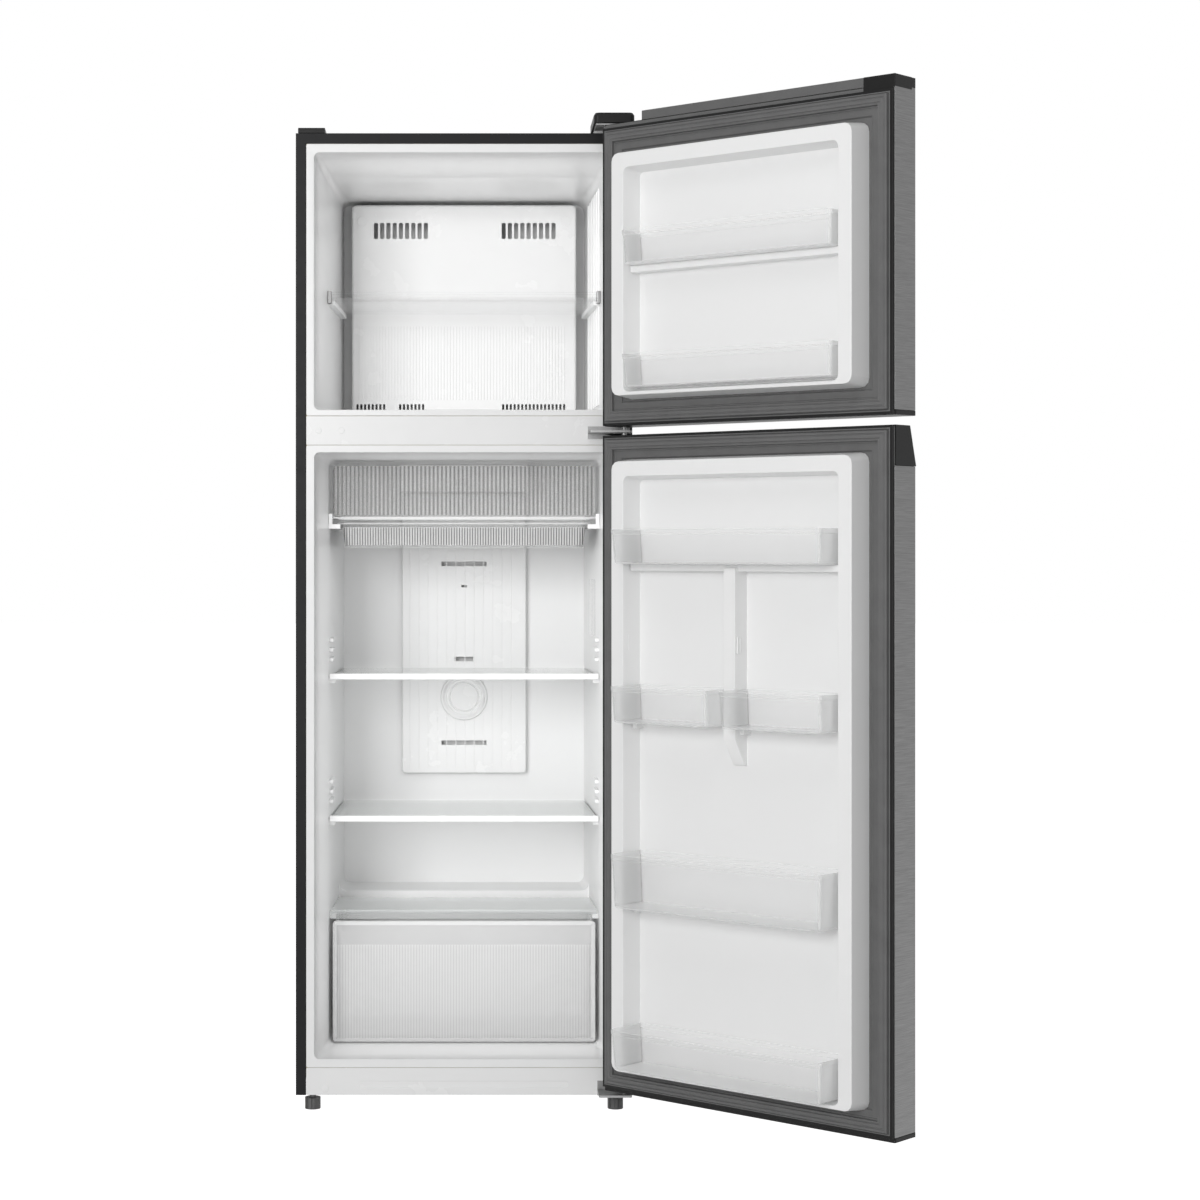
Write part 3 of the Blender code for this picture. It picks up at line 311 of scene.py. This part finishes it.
def brushed_steel():
    """Stainless sheet brushed level, under a clear coat."""
    f = Finish("brushed_steel", Metallic=0.9, Coat_Weight=0.15, Coat_Roughness=0.25)
    grain = f.noise(0.45, stretch=(90, 90, 1), detail=6.0)
    return f.colour(grain, grey(0.13), grey(0.21), 0.35, 0.65).roughness(
        f.noise(1.2, stretch=(40, 40, 1)), 0.30, 0.42).bump(grain, 0.015, 0.35).material


def charcoal_plastic():
    """Dark grey moulded trim with a fine spark-eroded texture."""
    f = Finish("charcoal_plastic")
    return f.colour(f.noise(40), grey(0.085), grey(0.11)).roughness(
        f.noise(4), 0.42, 0.55).bump(f.cells(0.8), 0.03, 0.5).material


def black_plastic():
    f = Finish("black_plastic", Specular_IOR_Level=0.18)
    return f.colour(f.noise(30), grey(0.005), grey(0.009)).roughness(
        f.noise(4), 0.34, 0.5).bump(f.cells(0.8), 0.03, 0.5).material


def gasket_rubber():
    """Soft grey vinyl seal."""
    f = Finish("gasket_rubber", Specular_IOR_Level=0.4)
    return f.colour(f.noise(30), grey(0.10), grey(0.13)).roughness(
        f.noise(6), 0.42, 0.58).bump(f.noise(0.8), 0.02, 0.6).material


def clear_plastic():
    """Clear polystyrene with faint flow marks, dense where it is seen edge on."""
    f = Finish("clear_plastic", IOR=1.5, Specular_IOR_Level=0.7)
    f.colour(f.noise(60), (0.93, 0.935, 0.935), (0.96, 0.965, 0.965))
    f.roughness(f.noise(20), 0.05, 0.09)
    f.bump(f.noise(30), 0.03, 0.3)
    edge = f.node("LayerWeight", {"Blend": 0.3}).outputs["Facing"]
    f.links.new(f.between(edge, 0.0, 0.45, 0.34, 1.0), f.shader.inputs["Alpha"])
    return f.material


def clear_edge():
    """The same plastic where it is thick: rims, beads and ears that catch the light."""
    f = Finish("clear_edge", IOR=1.5, Specular_IOR_Level=0.9)
    f.colour(f.noise(40), (0.94, 0.945, 0.945), (0.98, 0.985, 0.985))
    f.roughness(f.noise(12), 0.04, 0.1)
    f.bump(f.noise(12), 0.05, 0.4)
    edge = f.node("LayerWeight", {"Blend": 0.45}).outputs["Facing"]
    f.links.new(f.between(edge, 0.34, 0.9, 0.1, 1.0), f.shader.inputs["Alpha"])
    return f.material


def fluted_plastic(name, pitch, low, high, veil, line, shade, haze=0.03):
    """Clear plastic with fine upright flutes between two levels, in millimetres. Veil is how much the
    fluted part hides at the least, line how much more its ridges do, and shade the grey painted on its
    ridges, which is painted shade for the dark lines that light draws in real flutes. Haze is how
    much the plain part hides."""
    f = Finish(name, IOR=1.5, Specular_IOR_Level=0.7)
    axes = f.node("SeparateXYZ", {"Vector": f.place}).outputs
    turns = f.node("Math", {0: axes["X"], 1: 2 * math.pi / (pitch * MM)}, operation="MULTIPLY").outputs[0]
    wave = f.between(f.node("Math", {0: turns}, operation="SINE").outputs[0], 0, 1, -1, 1)
    above = f.between(axes["Z"], 0, 1, low * MM, (low + 1) * MM)
    below = f.between(axes["Z"], 1, 0, (high - 1) * MM, high * MM)
    zone = f.node("Math", {0: above, 1: below}, operation="MULTIPLY").outputs[0]
    ridges = f.node("Math", {0: wave, 1: zone}, operation="MULTIPLY").outputs[0]
    # The ridges go grey down to shade: painted shade for the dark lines that real flutes show.
    f.colour(ridges, grey(0.8), grey(shade), 0.15, 0.9)
    f.roughness(f.noise(20), 0.06, 0.12)
    f.bump(ridges, 0.15, 0.4)
    edge = f.between(f.node("LayerWeight", {"Blend": 0.3}).outputs["Facing"], haze, 0.6, 0.15, 1.0)
    hidden = f.node("Math", {0: zone, 1: veil, 2: edge}, operation="MULTIPLY_ADD").outputs[0]
    lined = f.node("Math", {0: ridges, 1: line, 2: hidden}, operation="MULTIPLY_ADD", use_clamp=True)
    f.links.new(lined.outputs[0], f.shader.inputs["Alpha"])
    return f.material


def shelf_glass():
    """Float glass, faintly green, with dark green edges."""
    f = Finish("shelf_glass", IOR=1.5)
    f.colour(f.noise(90), (0.82, 0.85, 0.84), (0.87, 0.89, 0.885))
    f.roughness(f.noise(50), 0.02, 0.06)
    edge = f.node("LayerWeight", {"Blend": 0.3}).outputs["Facing"]
    f.links.new(f.between(edge, 0.14, 0.75, 0.1, 1.0), f.shader.inputs["Alpha"])
    return f.material


def glass_side():
    """Ground edge of the same glass, which looks dark green."""
    f = Finish("glass_side", Specular_IOR_Level=0.5)
    return f.colour(f.noise(20), (0.03, 0.045, 0.04), (0.06, 0.08, 0.075)).roughness(
        f.noise(4), 0.2, 0.35).material


def bare_metal(name, low, high, rough):
    """Plated or cast metal with a dull, uneven shine."""
    f = Finish(name, Metallic=1.0)
    return f.colour(f.noise(8), low, high).roughness(f.noise(3), rough, rough + 0.15).bump(
        f.noise(1.5), 0.02, 0.5).material


def foam():
    """Rigid polyurethane foam with small cells."""
    f = Finish("insulating_foam", Specular_IOR_Level=0.2)
    return f.colour(f.noise(20), (0.55, 0.49, 0.33), (0.66, 0.6, 0.43)).roughness(
        f.noise(5), 0.8, 0.95).bump(f.cells(1.6), 0.4, 0.8).material


LINER = liner_plastic()
WHITE = moulded_white()
PAINT = cabinet_paint()
STEEL = brushed_steel()
CHARCOAL = charcoal_plastic()
BLACK = black_plastic()
SEAL = gasket_rubber()
CLEAR = clear_plastic()
EDGE = clear_edge()
GLASS = shelf_glass()
GLASS_SIDE = glass_side()
ZINC = bare_metal("zinc_plate", grey(0.42), grey(0.55), 0.32)
BRACKET = bare_metal("bracket_metal", grey(0.22), grey(0.3), 0.38)
FINS = bare_metal("aluminium_fins", grey(0.6), grey(0.75), 0.25)
FOAM = foam()
SLOT_FINISH = {
    "dark_paint": PAINT, "foam": FOAM, "zinc": ZINC, "trim": WHITE, "black_plastic": BLACK,
    "compressor_paint": BLACK, "liner": LINER, "fins": FINS, "shelf_glass": GLASS, "clear": CLEAR,
    "bracket": BRACKET, "foot": CHARCOAL, "brushed_steel": STEEL, "gasket": SEAL, "charcoal": CHARCOAL,
}

for node, obj in NODES.items():
    obj.data.materials.clear()
    obj.data.materials.append(SLOT_FINISH[SLOT_OF[node]])


# ---------------------------------------------------------------- pieces

def row(obj, count, step):
    """Repeats a piece in a straight row, as one mesh."""
    return modify(obj, "ARRAY", count=count, use_relative_offset=False, use_constant_offset=True,
                  constant_offset_displace=step, use_merge_vertices=False)


def flutes(x0, x1, pitch, y, low, high, proud=0.9):
    """Fine upright ridges side by side on a face that looks towards -Y."""
    width = pitch * 0.62
    ridge = block("ridge", (x0, y - proud, low), (x0 + width, y + 0.4, high))
    with editing(ridge, edges=lambda a, b: abs(a.z - b.z) > 1 and min(a.y, b.y) < y - proud / 2):
        bpy.ops.mesh.bevel(offset=proud * 0.6, segments=2)
    return row(ridge, int((x1 - x0) / pitch), (pitch, 0, 0))


def slots(x0, x1, pitch, width, low, high, y0, y1):
    """A row of upright round-cornered cutters."""
    tool = block("slot_tool", (x0, y0, low), (x0 + width, y1, high))
    with editing(tool, edges=lambda a, b: abs(a.y - b.y) > 1):
        bpy.ops.mesh.bevel(offset=width * 0.3, segments=2)
    return row(tool, int(round((x1 - x0) / pitch)), (pitch, 0, 0))


def button(name, x, y, z, radius, proud=1.2):
    """A round cap with a soft edge on a face that looks towards -Y."""
    return soften(drum(name, (x, y - proud / 2 + 0.2, z), radius, proud + 0.4), 0.5)


def eased(node, radius, material=None, parts=(), smooth=35):
    """The CAD shape with its edges rounded, and parts added to it."""
    obj = soften(drawn_from(node), radius)
    if parts:
        joined(obj, list(parts))
    return finished(obj, material or SLOT_FINISH[SLOT_OF[node]], node, smooth=smooth)


def seal(node, skirt=4.4, apron=13.0):
    """Magnetic door seal: a foot, a step, and parallel ribs that meet in mitred corners, with a black band round
    its outer edge that is painted shadow of the gap beside the door's skin.

    The profile goes inwards from the outer edge, as pairs of width and rise.
    """
    low, high = span(node)
    low, high = low - Vector((skirt, 0, skirt)), high + Vector((skirt, 0, skirt))
    foot, width = low.y + 5.0, 24.0
    rise, whole = high.y - foot, width + skirt + apron
    profile = (
        (skirt, 0.6), (1.5, 0.6), (1.5, -1.6), (0.8, rise - 0.8), (0.9, 0.8), (3.2, 0), (0.8, -1.2),
        (1.2, 0), (0.8, 1.2), (5.0, 0.5), (0.8, -1.4), (1.0, 0), (0.8, 0.9), (2.2, 0), (0.8, -rise),
        (2.2, 0), (0.5, -1.2), (apron - 2.0, -0.6), (1.5, -1.4))
    obj = block(node + "_surface", low, (high.x, foot, high.z))
    with editing(obj, faces=lambda centre, normal: normal.y > 0.9):
        for thickness, depth in profile:
            bpy.ops.mesh.inset(thickness=thickness, depth=depth)
        bpy.ops.mesh.delete(type="FACE")
    with editing(obj, faces=lambda centre, normal: normal.y < -0.9):
        bpy.ops.mesh.inset(thickness=whole)
        bpy.ops.mesh.delete(type="FACE")
    sides = {}
    for face in obj.data.polygons:
        for key in face.edge_keys:
            sides[key] = sides.get(key, 0) + 1
    open_edges = {key for key, count in sides.items() if count == 1}
    points = obj.data.vertices
    rims = {tuple(sorted((points[a].co[:], points[b].co[:]))) for a, b in open_edges}
    with editing(obj, edges=lambda a, b: tuple(sorted((a[:], b[:]))) in rims):
        bpy.ops.mesh.bridge_edge_loops()
        bpy.ops.mesh.select_all(action="SELECT")
        bpy.ops.mesh.normals_make_consistent(inside=False)
    soften(obj, 0.35)
    # The outer 4 mm of the seal is painted black: painted shadow of the gap between the seal and the skin.
    edge = lambda c, n: abs(c.x) > high.x - 4 or c.z > high.z - 4 or c.z < low.z + 4
    return finished(obj, SEAL, node, second=BLACK, second_where=edge)


def open_rack(node, rim=8.0, wall=2.2):
    """Clear door rack: flared round-cornered walls, and a thicker rim."""
    low, high = span(node)
    middle = (low + high) / 2
    obj = block(node + "_surface", low, high)
    upright = lambda a, b: abs(a.z - b.z) > 1
    with editing(obj, edges=lambda a, b: upright(a, b) and a.y > middle.y):
        bpy.ops.mesh.bevel(offset=16, segments=6)
    with editing(obj, edges=lambda a, b: upright(a, b) and max(a.y, b.y) < low.y + 1):
        bpy.ops.mesh.bevel(offset=5, segments=3)
    with editing(obj, points=lambda p: p.z < middle.z):
        bpy.ops.transform.resize(value=(0.984, 0.94, 1), center_override=(middle.x, low.y, low.z))
    with editing(obj, edges=lambda a, b: max(a.z, b.z) < low.z + 0.1):
        bpy.ops.mesh.bevel(offset=5, segments=3)
    with editing(obj, faces=lambda c, n: True):
        bpy.ops.mesh.bisect(plane_co=(0, 0, high.z - rim), plane_no=(0, 0, 1))
    with editing(obj, faces=lambda c, n: abs(n.z) < 0.5 and c.z > high.z - rim):
        bpy.ops.mesh.extrude_region_shrink_fatten(TRANSFORM_OT_shrink_fatten={"value": 1.3})
    with editing(obj, faces=lambda c, n: n.z > 0.9 and c.z > high.z - 0.1):
        bpy.ops.mesh.delete(type="FACE")
    modify(obj, "SOLIDIFY", thickness=wall, offset=-1)
    soften(obj, 0.5)
    step = high.z - rim
    thick = lambda c, n: c.z > high.z - 2.4 or abs(c.z - step) < 1.2 or c.z < low.z + 2.6 or abs(n.x) > 0.85
    return finished(obj, CLEAR, node, second=EDGE, second_where=thick)


def drawer():
    """Vegetable drawer: a clear bin with a smooth lip and a finely fluted front."""
    low, high = span("crisper_drawer")
    lip = high.z - 43
    obj = soften(drawn_from("crisper_drawer"), 1.6, 3)
    with editing(obj, faces=lambda c, n: n.y < -0.9 and c.y < low.y + 1):
        bpy.ops.mesh.inset(thickness=7, depth=-0.9)
    # The ridges' grey of 0.6 is painted shade for the flutes' dark lines.
    fluted = fluted_plastic("drawer_plastic", 5.2, low.z + 9, lip, 0.0, 0.3, 0.6, 0.34)
    rim = lambda c, n: c.z > high.z - 4 or (c.y < low.y + 3 and (c.z < low.z + 6 or abs(c.x) > high.x - 6))
    return finished(obj, fluted, "crisper_drawer", second=EDGE, second_where=rim)


def flap():
    """Chiller flap with a fluted face inside a plain border."""
    low, high = span("chiller_flap")
    obj = soften(drawn_from("chiller_flap"), 1.0, 3)
    # The ridges' grey of 0.15 is painted shade for the flutes' dark lines.
    fluted = fluted_plastic("flap_plastic", 7.6, low.z + 8, high.z - 6, 0.1, 0.58, 0.15)
    rim = lambda c, n: abs(c.x) > high.x - 5 or c.z > high.z - 3 or c.z < low.z + 6
    return finished(obj, fluted, "chiller_flap", second=EDGE, second_where=rim)


def tray():
    """Shallow clear tray under the flap, fluted in front below a thick rim."""
    low, high = span("chiller_tray")
    obj = soften(drawn_from("chiller_tray"), 1.2, 3)
    # The ridges' grey of 0.05 and the veil of 0.4 paint the tray's fluted front dark: painted shade.
    fluted = fluted_plastic("tray_plastic", 4.8, low.z + 4, high.z - 8, 0.4, 0.55, 0.05)
    rim = lambda c, n: c.z > high.z - 5 or c.z < low.z + 3
    return finished(obj, fluted, "chiller_tray", second=EDGE, second_where=rim)


def air_cover():
    """Cover over the evaporator, with two banks of tall vents, screw caps, fine ribs and a slotted foot."""
    low, high = span("evaporator_cover")
    obj = block("evaporator_cover_surface", low, high)
    with editing(obj, edges=lambda a, b: abs(a.y - b.y) > 1):
        bpy.ops.mesh.bevel(offset=9, segments=4)
    with editing(obj, edges=lambda a, b: max(a.y, b.y) < low.y + 0.1):
        bpy.ops.mesh.bevel(offset=5, segments=3)
    with editing(obj, faces=lambda c, n: n.y > 0.9):
        bpy.ops.mesh.delete(type="FACE")
    modify(obj, "SOLIDIFY", thickness=2.4, offset=-1)
    front, behind = low.y - 5, low.y + 8
    vents, foot = high.z - 66, low.z + 11
    tools = [slots(-175, -66, 12.1, 8, vents, vents + 31, front, behind),
             slots(73, 182, 12.1, 8, vents, vents + 31, front, behind)]
    for x0, x1 in ((low.x + 9, -148), (-126, -76), (74, 198)):
        tools.append(slots(x0, x1, 7.4, 4.2, foot, foot + 12, front, behind))
    cut(obj, tools)
    parts = [flutes(low.x + 14, high.x - 14, 6.0, low.y, foot + 20, vents - 170, 0.7)]
    parts += [button("cap", x, low.y, high.z - 32, 9.5) for x in (-198, 198)]
    soften(obj, 0.5)
    return finished(joined(obj, parts), WHITE, "evaporator_cover")


def duct():
    """Cold-air duct cover with upright beads between its outlets."""
    low, high = span("duct_cover")
    obj = soften(drawn_from("duct_cover"), 1.4)
    beads = block("bead", (low.x + 15, low.y - 0.7, low.z + 8), (low.x + 16.6, low.y + 0.3, high.z - 4))
    row(soften(beads, 0.3), 12, (18.0, 0, 0))
    return finished(joined(obj, [beads]), WHITE, "duct_cover")


def controls():
    """Thermostat box with six small outlets in its face."""
    low, _ = span("control_box")
    obj = drawn_from("control_box")
    cut(obj, [slots(-16, 17, 5.6, 3.2, low.z + 12, low.z + 21, low.y - 4, low.y + 6)])
    soften(obj, 1.2)
    return finished(obj, WHITE, "control_box")


def cold_shelf():
    """Freezer shelf: a clear plate, a bright front bar and a grey bracket at each end."""
    low, high = span("freezer_shelf")
    plate = soften(drawn_from("freezer_shelf"), 0.8)
    bar = block("bar", (low.x + 4, low.y - 1.5, low.z - 3), (high.x - 4, low.y + 9, high.z + 4))
    joined(plate, [soften(bar, 2.2, 3)])
    made = finished(plate, CLEAR, "freezer_shelf")
    ends = []
    for x0, x1 in ((low.x - 2, low.x + 5), (high.x - 5, high.x + 2)):
        end = block("shelf_end", (x0, low.y - 3, low.z - 4), (x1, low.y + 14, high.z + 6))
        ends.append(soften(end, 1.2))
    clips = joined(ends[0], ends[1:])
    clips.name = clips.data.name = "freezer_shelf_ends"
    finished(clips, BRACKET, body="cabinet")
    return made


def liner_wall(y):
    """Half the width between a liner's side walls at a depth. The walls draw in towards the back."""
    front_half, back_half, front, back = 248.3, 236.3, 100, 475
    return front_half + (back_half - front_half) * (y - front) / (back - front)


def cold_liner():
    """Freezer liner with upright steps down both side walls."""
    low, high = span("freezer_liner")
    obj = soften(drawn_from("freezer_liner"), 1.5)
    parts = []
    for side in (-1, 1):
        for step in range(7):
            y = 128 + 38 * step
            x = side * liner_wall(y)
            near, far = min(x, x - side * 2.4), max(x + side, x)
            parts.append(soften(block("rib", (near, y, low.z + 26), (far, y + 17, high.z - 62)), 0.9))
    return finished(joined(obj, parts), LINER, "freezer_liner")


def food_liner():
    """Fridge liner with short moulded rests over each shelf."""
    obj = soften(drawn_from("fridge_liner"), 1.5)
    parts = []
    for node in ("shelf_lower_glass", "shelf_upper_glass"):
        level = span(node)[1].z
        for side in (-1, 1):
            for rise in (26, 44, 62):
                x = side * liner_wall(150)
                rest = block("rest", (min(x + side, x - side * 7), 132, level + rise),
                             (max(x + side, x - side * 7), 196, level + rise + 7))
                parts.append(soften(rest, 2.2, 3))
    return finished(joined(obj, parts), LINER, "fridge_liner")


def door_inner(node):
    """Door liner with generous moulded radii, and the seal's grey painted on the edge that the seal lies on:
    painted shade of the gap under the seal.

    The fridge door's has a small hook moulded on its pocket wall and on its centre post.
    """
    low, high = span(node)
    obj = soften(drawn_from(node), 3.2)
    if node == "fridge_door_liner":
        pocket, level = span("fridge_rack_top")[1].x + 1.5, span("fridge_rack_middle_left")[1].z + 60
        depth = high.y - 0.36 * (high.y - low.y)
        for wall in (pocket + 4.5, -12.0):
            hook = block("hook", (wall - 2.0, depth - 5, level), (wall + 3.0, depth + 4, level + 28))
            with editing(hook, faces=lambda c, n: n.x < -0.9):
                bpy.ops.mesh.inset(thickness=2.2, depth=-1.4)
            joined(obj, [soften(hook, 0.7)])
    # The seal's grey on the liner's outer edge is painted shade of the gap under the seal.
    return finished(obj, LINER, node, smooth=40, second=SEAL, second_where=lambda c, n: c.y < low.y + 4)


def top_trim():
    """Charcoal strip along the top of the freezer door, closed by a black cap at its free end."""
    low, high = span("freezer_door_top_cap")
    obj = soften(drawn_from("freezer_door_top_cap"), 1.2)
    end, front = low.x + 60, low.y + 13
    cap = block("end_cap", (low.x - 0.4, front, high.z - 24), (end, high.y + 0.6, high.z + 0.5))
    under = high.z - 20
    with editing(cap, edges=lambda a, b: abs(a.y - b.y) > 1 and max(a.z, b.z) < under and a.x < end - 5):
        bpy.ops.mesh.bevel(offset=6, segments=4)
    soften(cap, 1.0)
    joined(obj, [cap])
    black = lambda c, n: c.x < end + 1.5 and c.y > front - 1 and c.z > high.z - 25
    return finished(obj, CHARCOAL, "freezer_door_top_cap", second=BLACK, second_where=black)


def deodoriser():
    """Round cap over the filter, with a groove round its face."""
    obj = drawn_from("deodoriser_cap")
    with editing(obj, faces=lambda c, n: n.y < -0.9):
        bpy.ops.mesh.inset(thickness=4.0)
        bpy.ops.mesh.inset(thickness=0.8, depth=-2.0)
        bpy.ops.mesh.inset(thickness=1.4)
        bpy.ops.mesh.inset(thickness=0.8, depth=2.0)
    return finished(soften(obj, 0.5), WHITE, "deodoriser_cap")


def pane(node):
    """Shelf glass with its dark sides."""
    obj = soften(drawn_from(node), 0.5)
    return finished(obj, GLASS, node, second=GLASS_SIDE, second_where=lambda c, n: abs(n.x) > 0.6)


def plinth():
    """Kick panel with a round cap beside its long groove."""
    low, _ = span("kick_panel")
    caps = [button("cap", -248, low.y, 40, 6.6), button("hole", 252, low.y, 40, 3.0, 0.5)]
    return eased("kick_panel", 0.6, WHITE, caps)


def mullion():
    """Rail between the compartments with two small caps."""
    low, high = span("mullion_cover")
    level = (low.z + high.z) / 2
    caps = [button("cap", x, low.y, level, 5.5) for x in (-259.5, -218.5)]
    return eased("mullion_cover", 0.6, WHITE, caps)


def foot(node):
    """Levelling foot: a knurled wheel on a plain stud."""
    low, high = span(node)
    x, y, radius = (low.x + high.x) / 2, (low.y + high.y) / 2, (high.x - low.x) / 2
    tall = min(20.0, high.z - low.z)
    knurls = 48
    every_other = lambda c: int(math.degrees(math.atan2(c.y - y, c.x - x)) // (180 / knurls)) % 2 == 0
    wheel = drum(node + "_surface", (x, y, low.z + tall / 2), radius, tall, "Z", knurls)
    with editing(wheel, edges=lambda a, b: abs(a.z - b.z) > 1):
        bpy.ops.mesh.bevel(offset=0.35, segments=1)
    with editing(wheel, faces=lambda c, n: abs(n.z) < 0.5 and every_other(c)):
        bpy.ops.mesh.inset(thickness=0.25, use_individual=True)
        bpy.ops.transform.shrink_fatten(value=-0.7)
    stud = drum("stud", (x, y, (low.z + tall + high.z) / 2), radius * 0.42, high.z - low.z - tall + 1, "Z")
    return finished(joined(wheel, [soften(stud, 0.4)]), CHARCOAL, node)


for door in DOORS:
    seal(door + "_gasket")
    door_inner(door + "_liner")
    eased(door + "_skin", 0.8, STEEL)
    eased(door + "_bottom_cap", 1.2)
for node in NODES:
    if "_rack_" in node:
        open_rack(node)
top_trim()
eased("fridge_door_top_cap", 1.2)
drawer()
flap()
tray()
air_cover()
duct()
controls()
cold_shelf()
cold_liner()
food_liner()
plinth()
mullion()
foot("front_foot_left")
foot("front_foot_right")
pane("shelf_lower_glass")
pane("shelf_upper_glass")
deodoriser()
for node in ("shelf_lower_trim", "shelf_upper_trim", "chiller_rail_left", "chiller_rail_right",
             "crisper_cover", "top_hinge_cover", "corner_cap", "lamp_cover"):
    eased(node, 0.9)
eased("rear_cover", 0.9, smooth=0)
for node in ("top_hinge", "middle_hinge", "bottom_hinge", "cabinet_shell"):
    eased(node, 0.5)


# ---------------------------------------------------------------- floor, light and camera

EYE = Vector((0, -4540, 1000))
LENS = 76.4
SHIFT = (0.1133, -0.0417)


def only_seen(low, high, material):
    """A factor that is high for what the eye, glossy and clear surfaces see, and low for light."""
    nodes, links = material.node_tree.nodes, material.node_tree.links
    rays = nodes.new("ShaderNodeLightPath")
    either = nodes.new("ShaderNodeMath")
    either.operation = "MAXIMUM"
    links.new(rays.outputs["Is Camera Ray"], either.inputs[0])
    links.new(rays.outputs["Is Glossy Ray"], either.inputs[1])
    any_of = nodes.new("ShaderNodeMath")
    any_of.operation = "MAXIMUM"
    links.new(either.outputs[0], any_of.inputs[0])
    links.new(rays.outputs["Is Transmission Ray"], any_of.inputs[1])
    strength = nodes.new("ShaderNodeMapRange")
    strength.inputs["To Min"].default_value = low
    strength.inputs["To Max"].default_value = high
    links.new(any_of.outputs[0], strength.inputs["Value"])
    return strength.outputs["Result"]


def white_room():
    """Even light from all round, seen as plain white."""
    world = bpy.data.worlds.new("white_room")
    bpy.context.scene.world = world
    world.use_nodes = True
    backdrop = world.node_tree.nodes["Background"]
    backdrop.inputs["Color"].default_value = (1, 1, 1, 1)
    world.node_tree.links.new(only_seen(0.32, 1.0, world), backdrop.inputs["Strength"])


def pale_floor():
    """A wide white floor that keeps the shadow."""
    bpy.ops.object.select_all(action="DESELECT")
    bpy.ops.mesh.primitive_plane_add(size=60, location=(0, 0, 0))
    floor = named("floor")
    material = bpy.data.materials.new("pale_floor")
    material.use_nodes = True
    nodes, links = material.node_tree.nodes, material.node_tree.links
    shader = nodes["Principled BSDF"]
    shader.inputs["Base Color"].default_value = (0.8, 0.8, 0.8, 1)
    shader.inputs["Roughness"].default_value = 1.0
    shader.inputs["Specular IOR Level"].default_value = 0.0
    shader.inputs["Emission Color"].default_value = (1, 1, 1, 1)
    links.new(only_seen(0.0, 0.9, material), shader.inputs["Emission Strength"])
    floor.data.materials.append(material)


def softbox(name, place, aim, size, power):
    """A square lamp at a place, facing a point, both in metres."""
    bpy.ops.object.select_all(action="DESELECT")
    direction = Vector(aim) - Vector(place)
    bpy.ops.object.light_add(type="AREA", location=place,
                             rotation=direction.to_track_quat("-Z", "Y").to_euler())
    lamp = bpy.context.object
    lamp.name = name
    lamp.data.shape = "SQUARE"
    lamp.data.size = size
    lamp.data.energy = power


def mouth_light(node, power):
    """Soft light from the mouth of a compartment onto its own walls."""
    low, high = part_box(node)
    inset = 0.05
    bpy.ops.object.select_all(action="DESELECT")
    bpy.ops.object.light_add(type="AREA", rotation=(math.pi / 2, 0, 0),
                             location=((low.x + high.x) / 2, low.y + 0.01, (low.z + high.z) / 2))
    lamp = bpy.context.object
    lamp.name = node + "_light"
    lamp.data.shape = "RECTANGLE"
    lamp.data.size = high.x - low.x - 2 * inset
    lamp.data.size_y = high.z - low.z - 2 * inset
    lamp.data.energy = power


def camera():
    bpy.ops.object.camera_add(location=ORIGIN + EYE * MM, rotation=(math.pi / 2, 0, 0))
    eye = bpy.context.object
    eye.data.lens = LENS
    eye.data.sensor_width = 36
    eye.data.shift_x, eye.data.shift_y = SHIFT
    bpy.context.scene.camera = eye


white_room()
pale_floor()
softbox("front_light", (-1.9, -5.0, 1.7), (-0.1, 0.2, 0.95), 1.6, 124)
softbox("top_light", (-0.5, -2.4, 3.5), (0.1, -0.2, 0.9), 1.3, 14)
mouth_light("fridge_liner", 1.05)
mouth_light("freezer_liner", 0.36)
camera()
bpy.context.scene.view_settings.view_transform = "Standard"
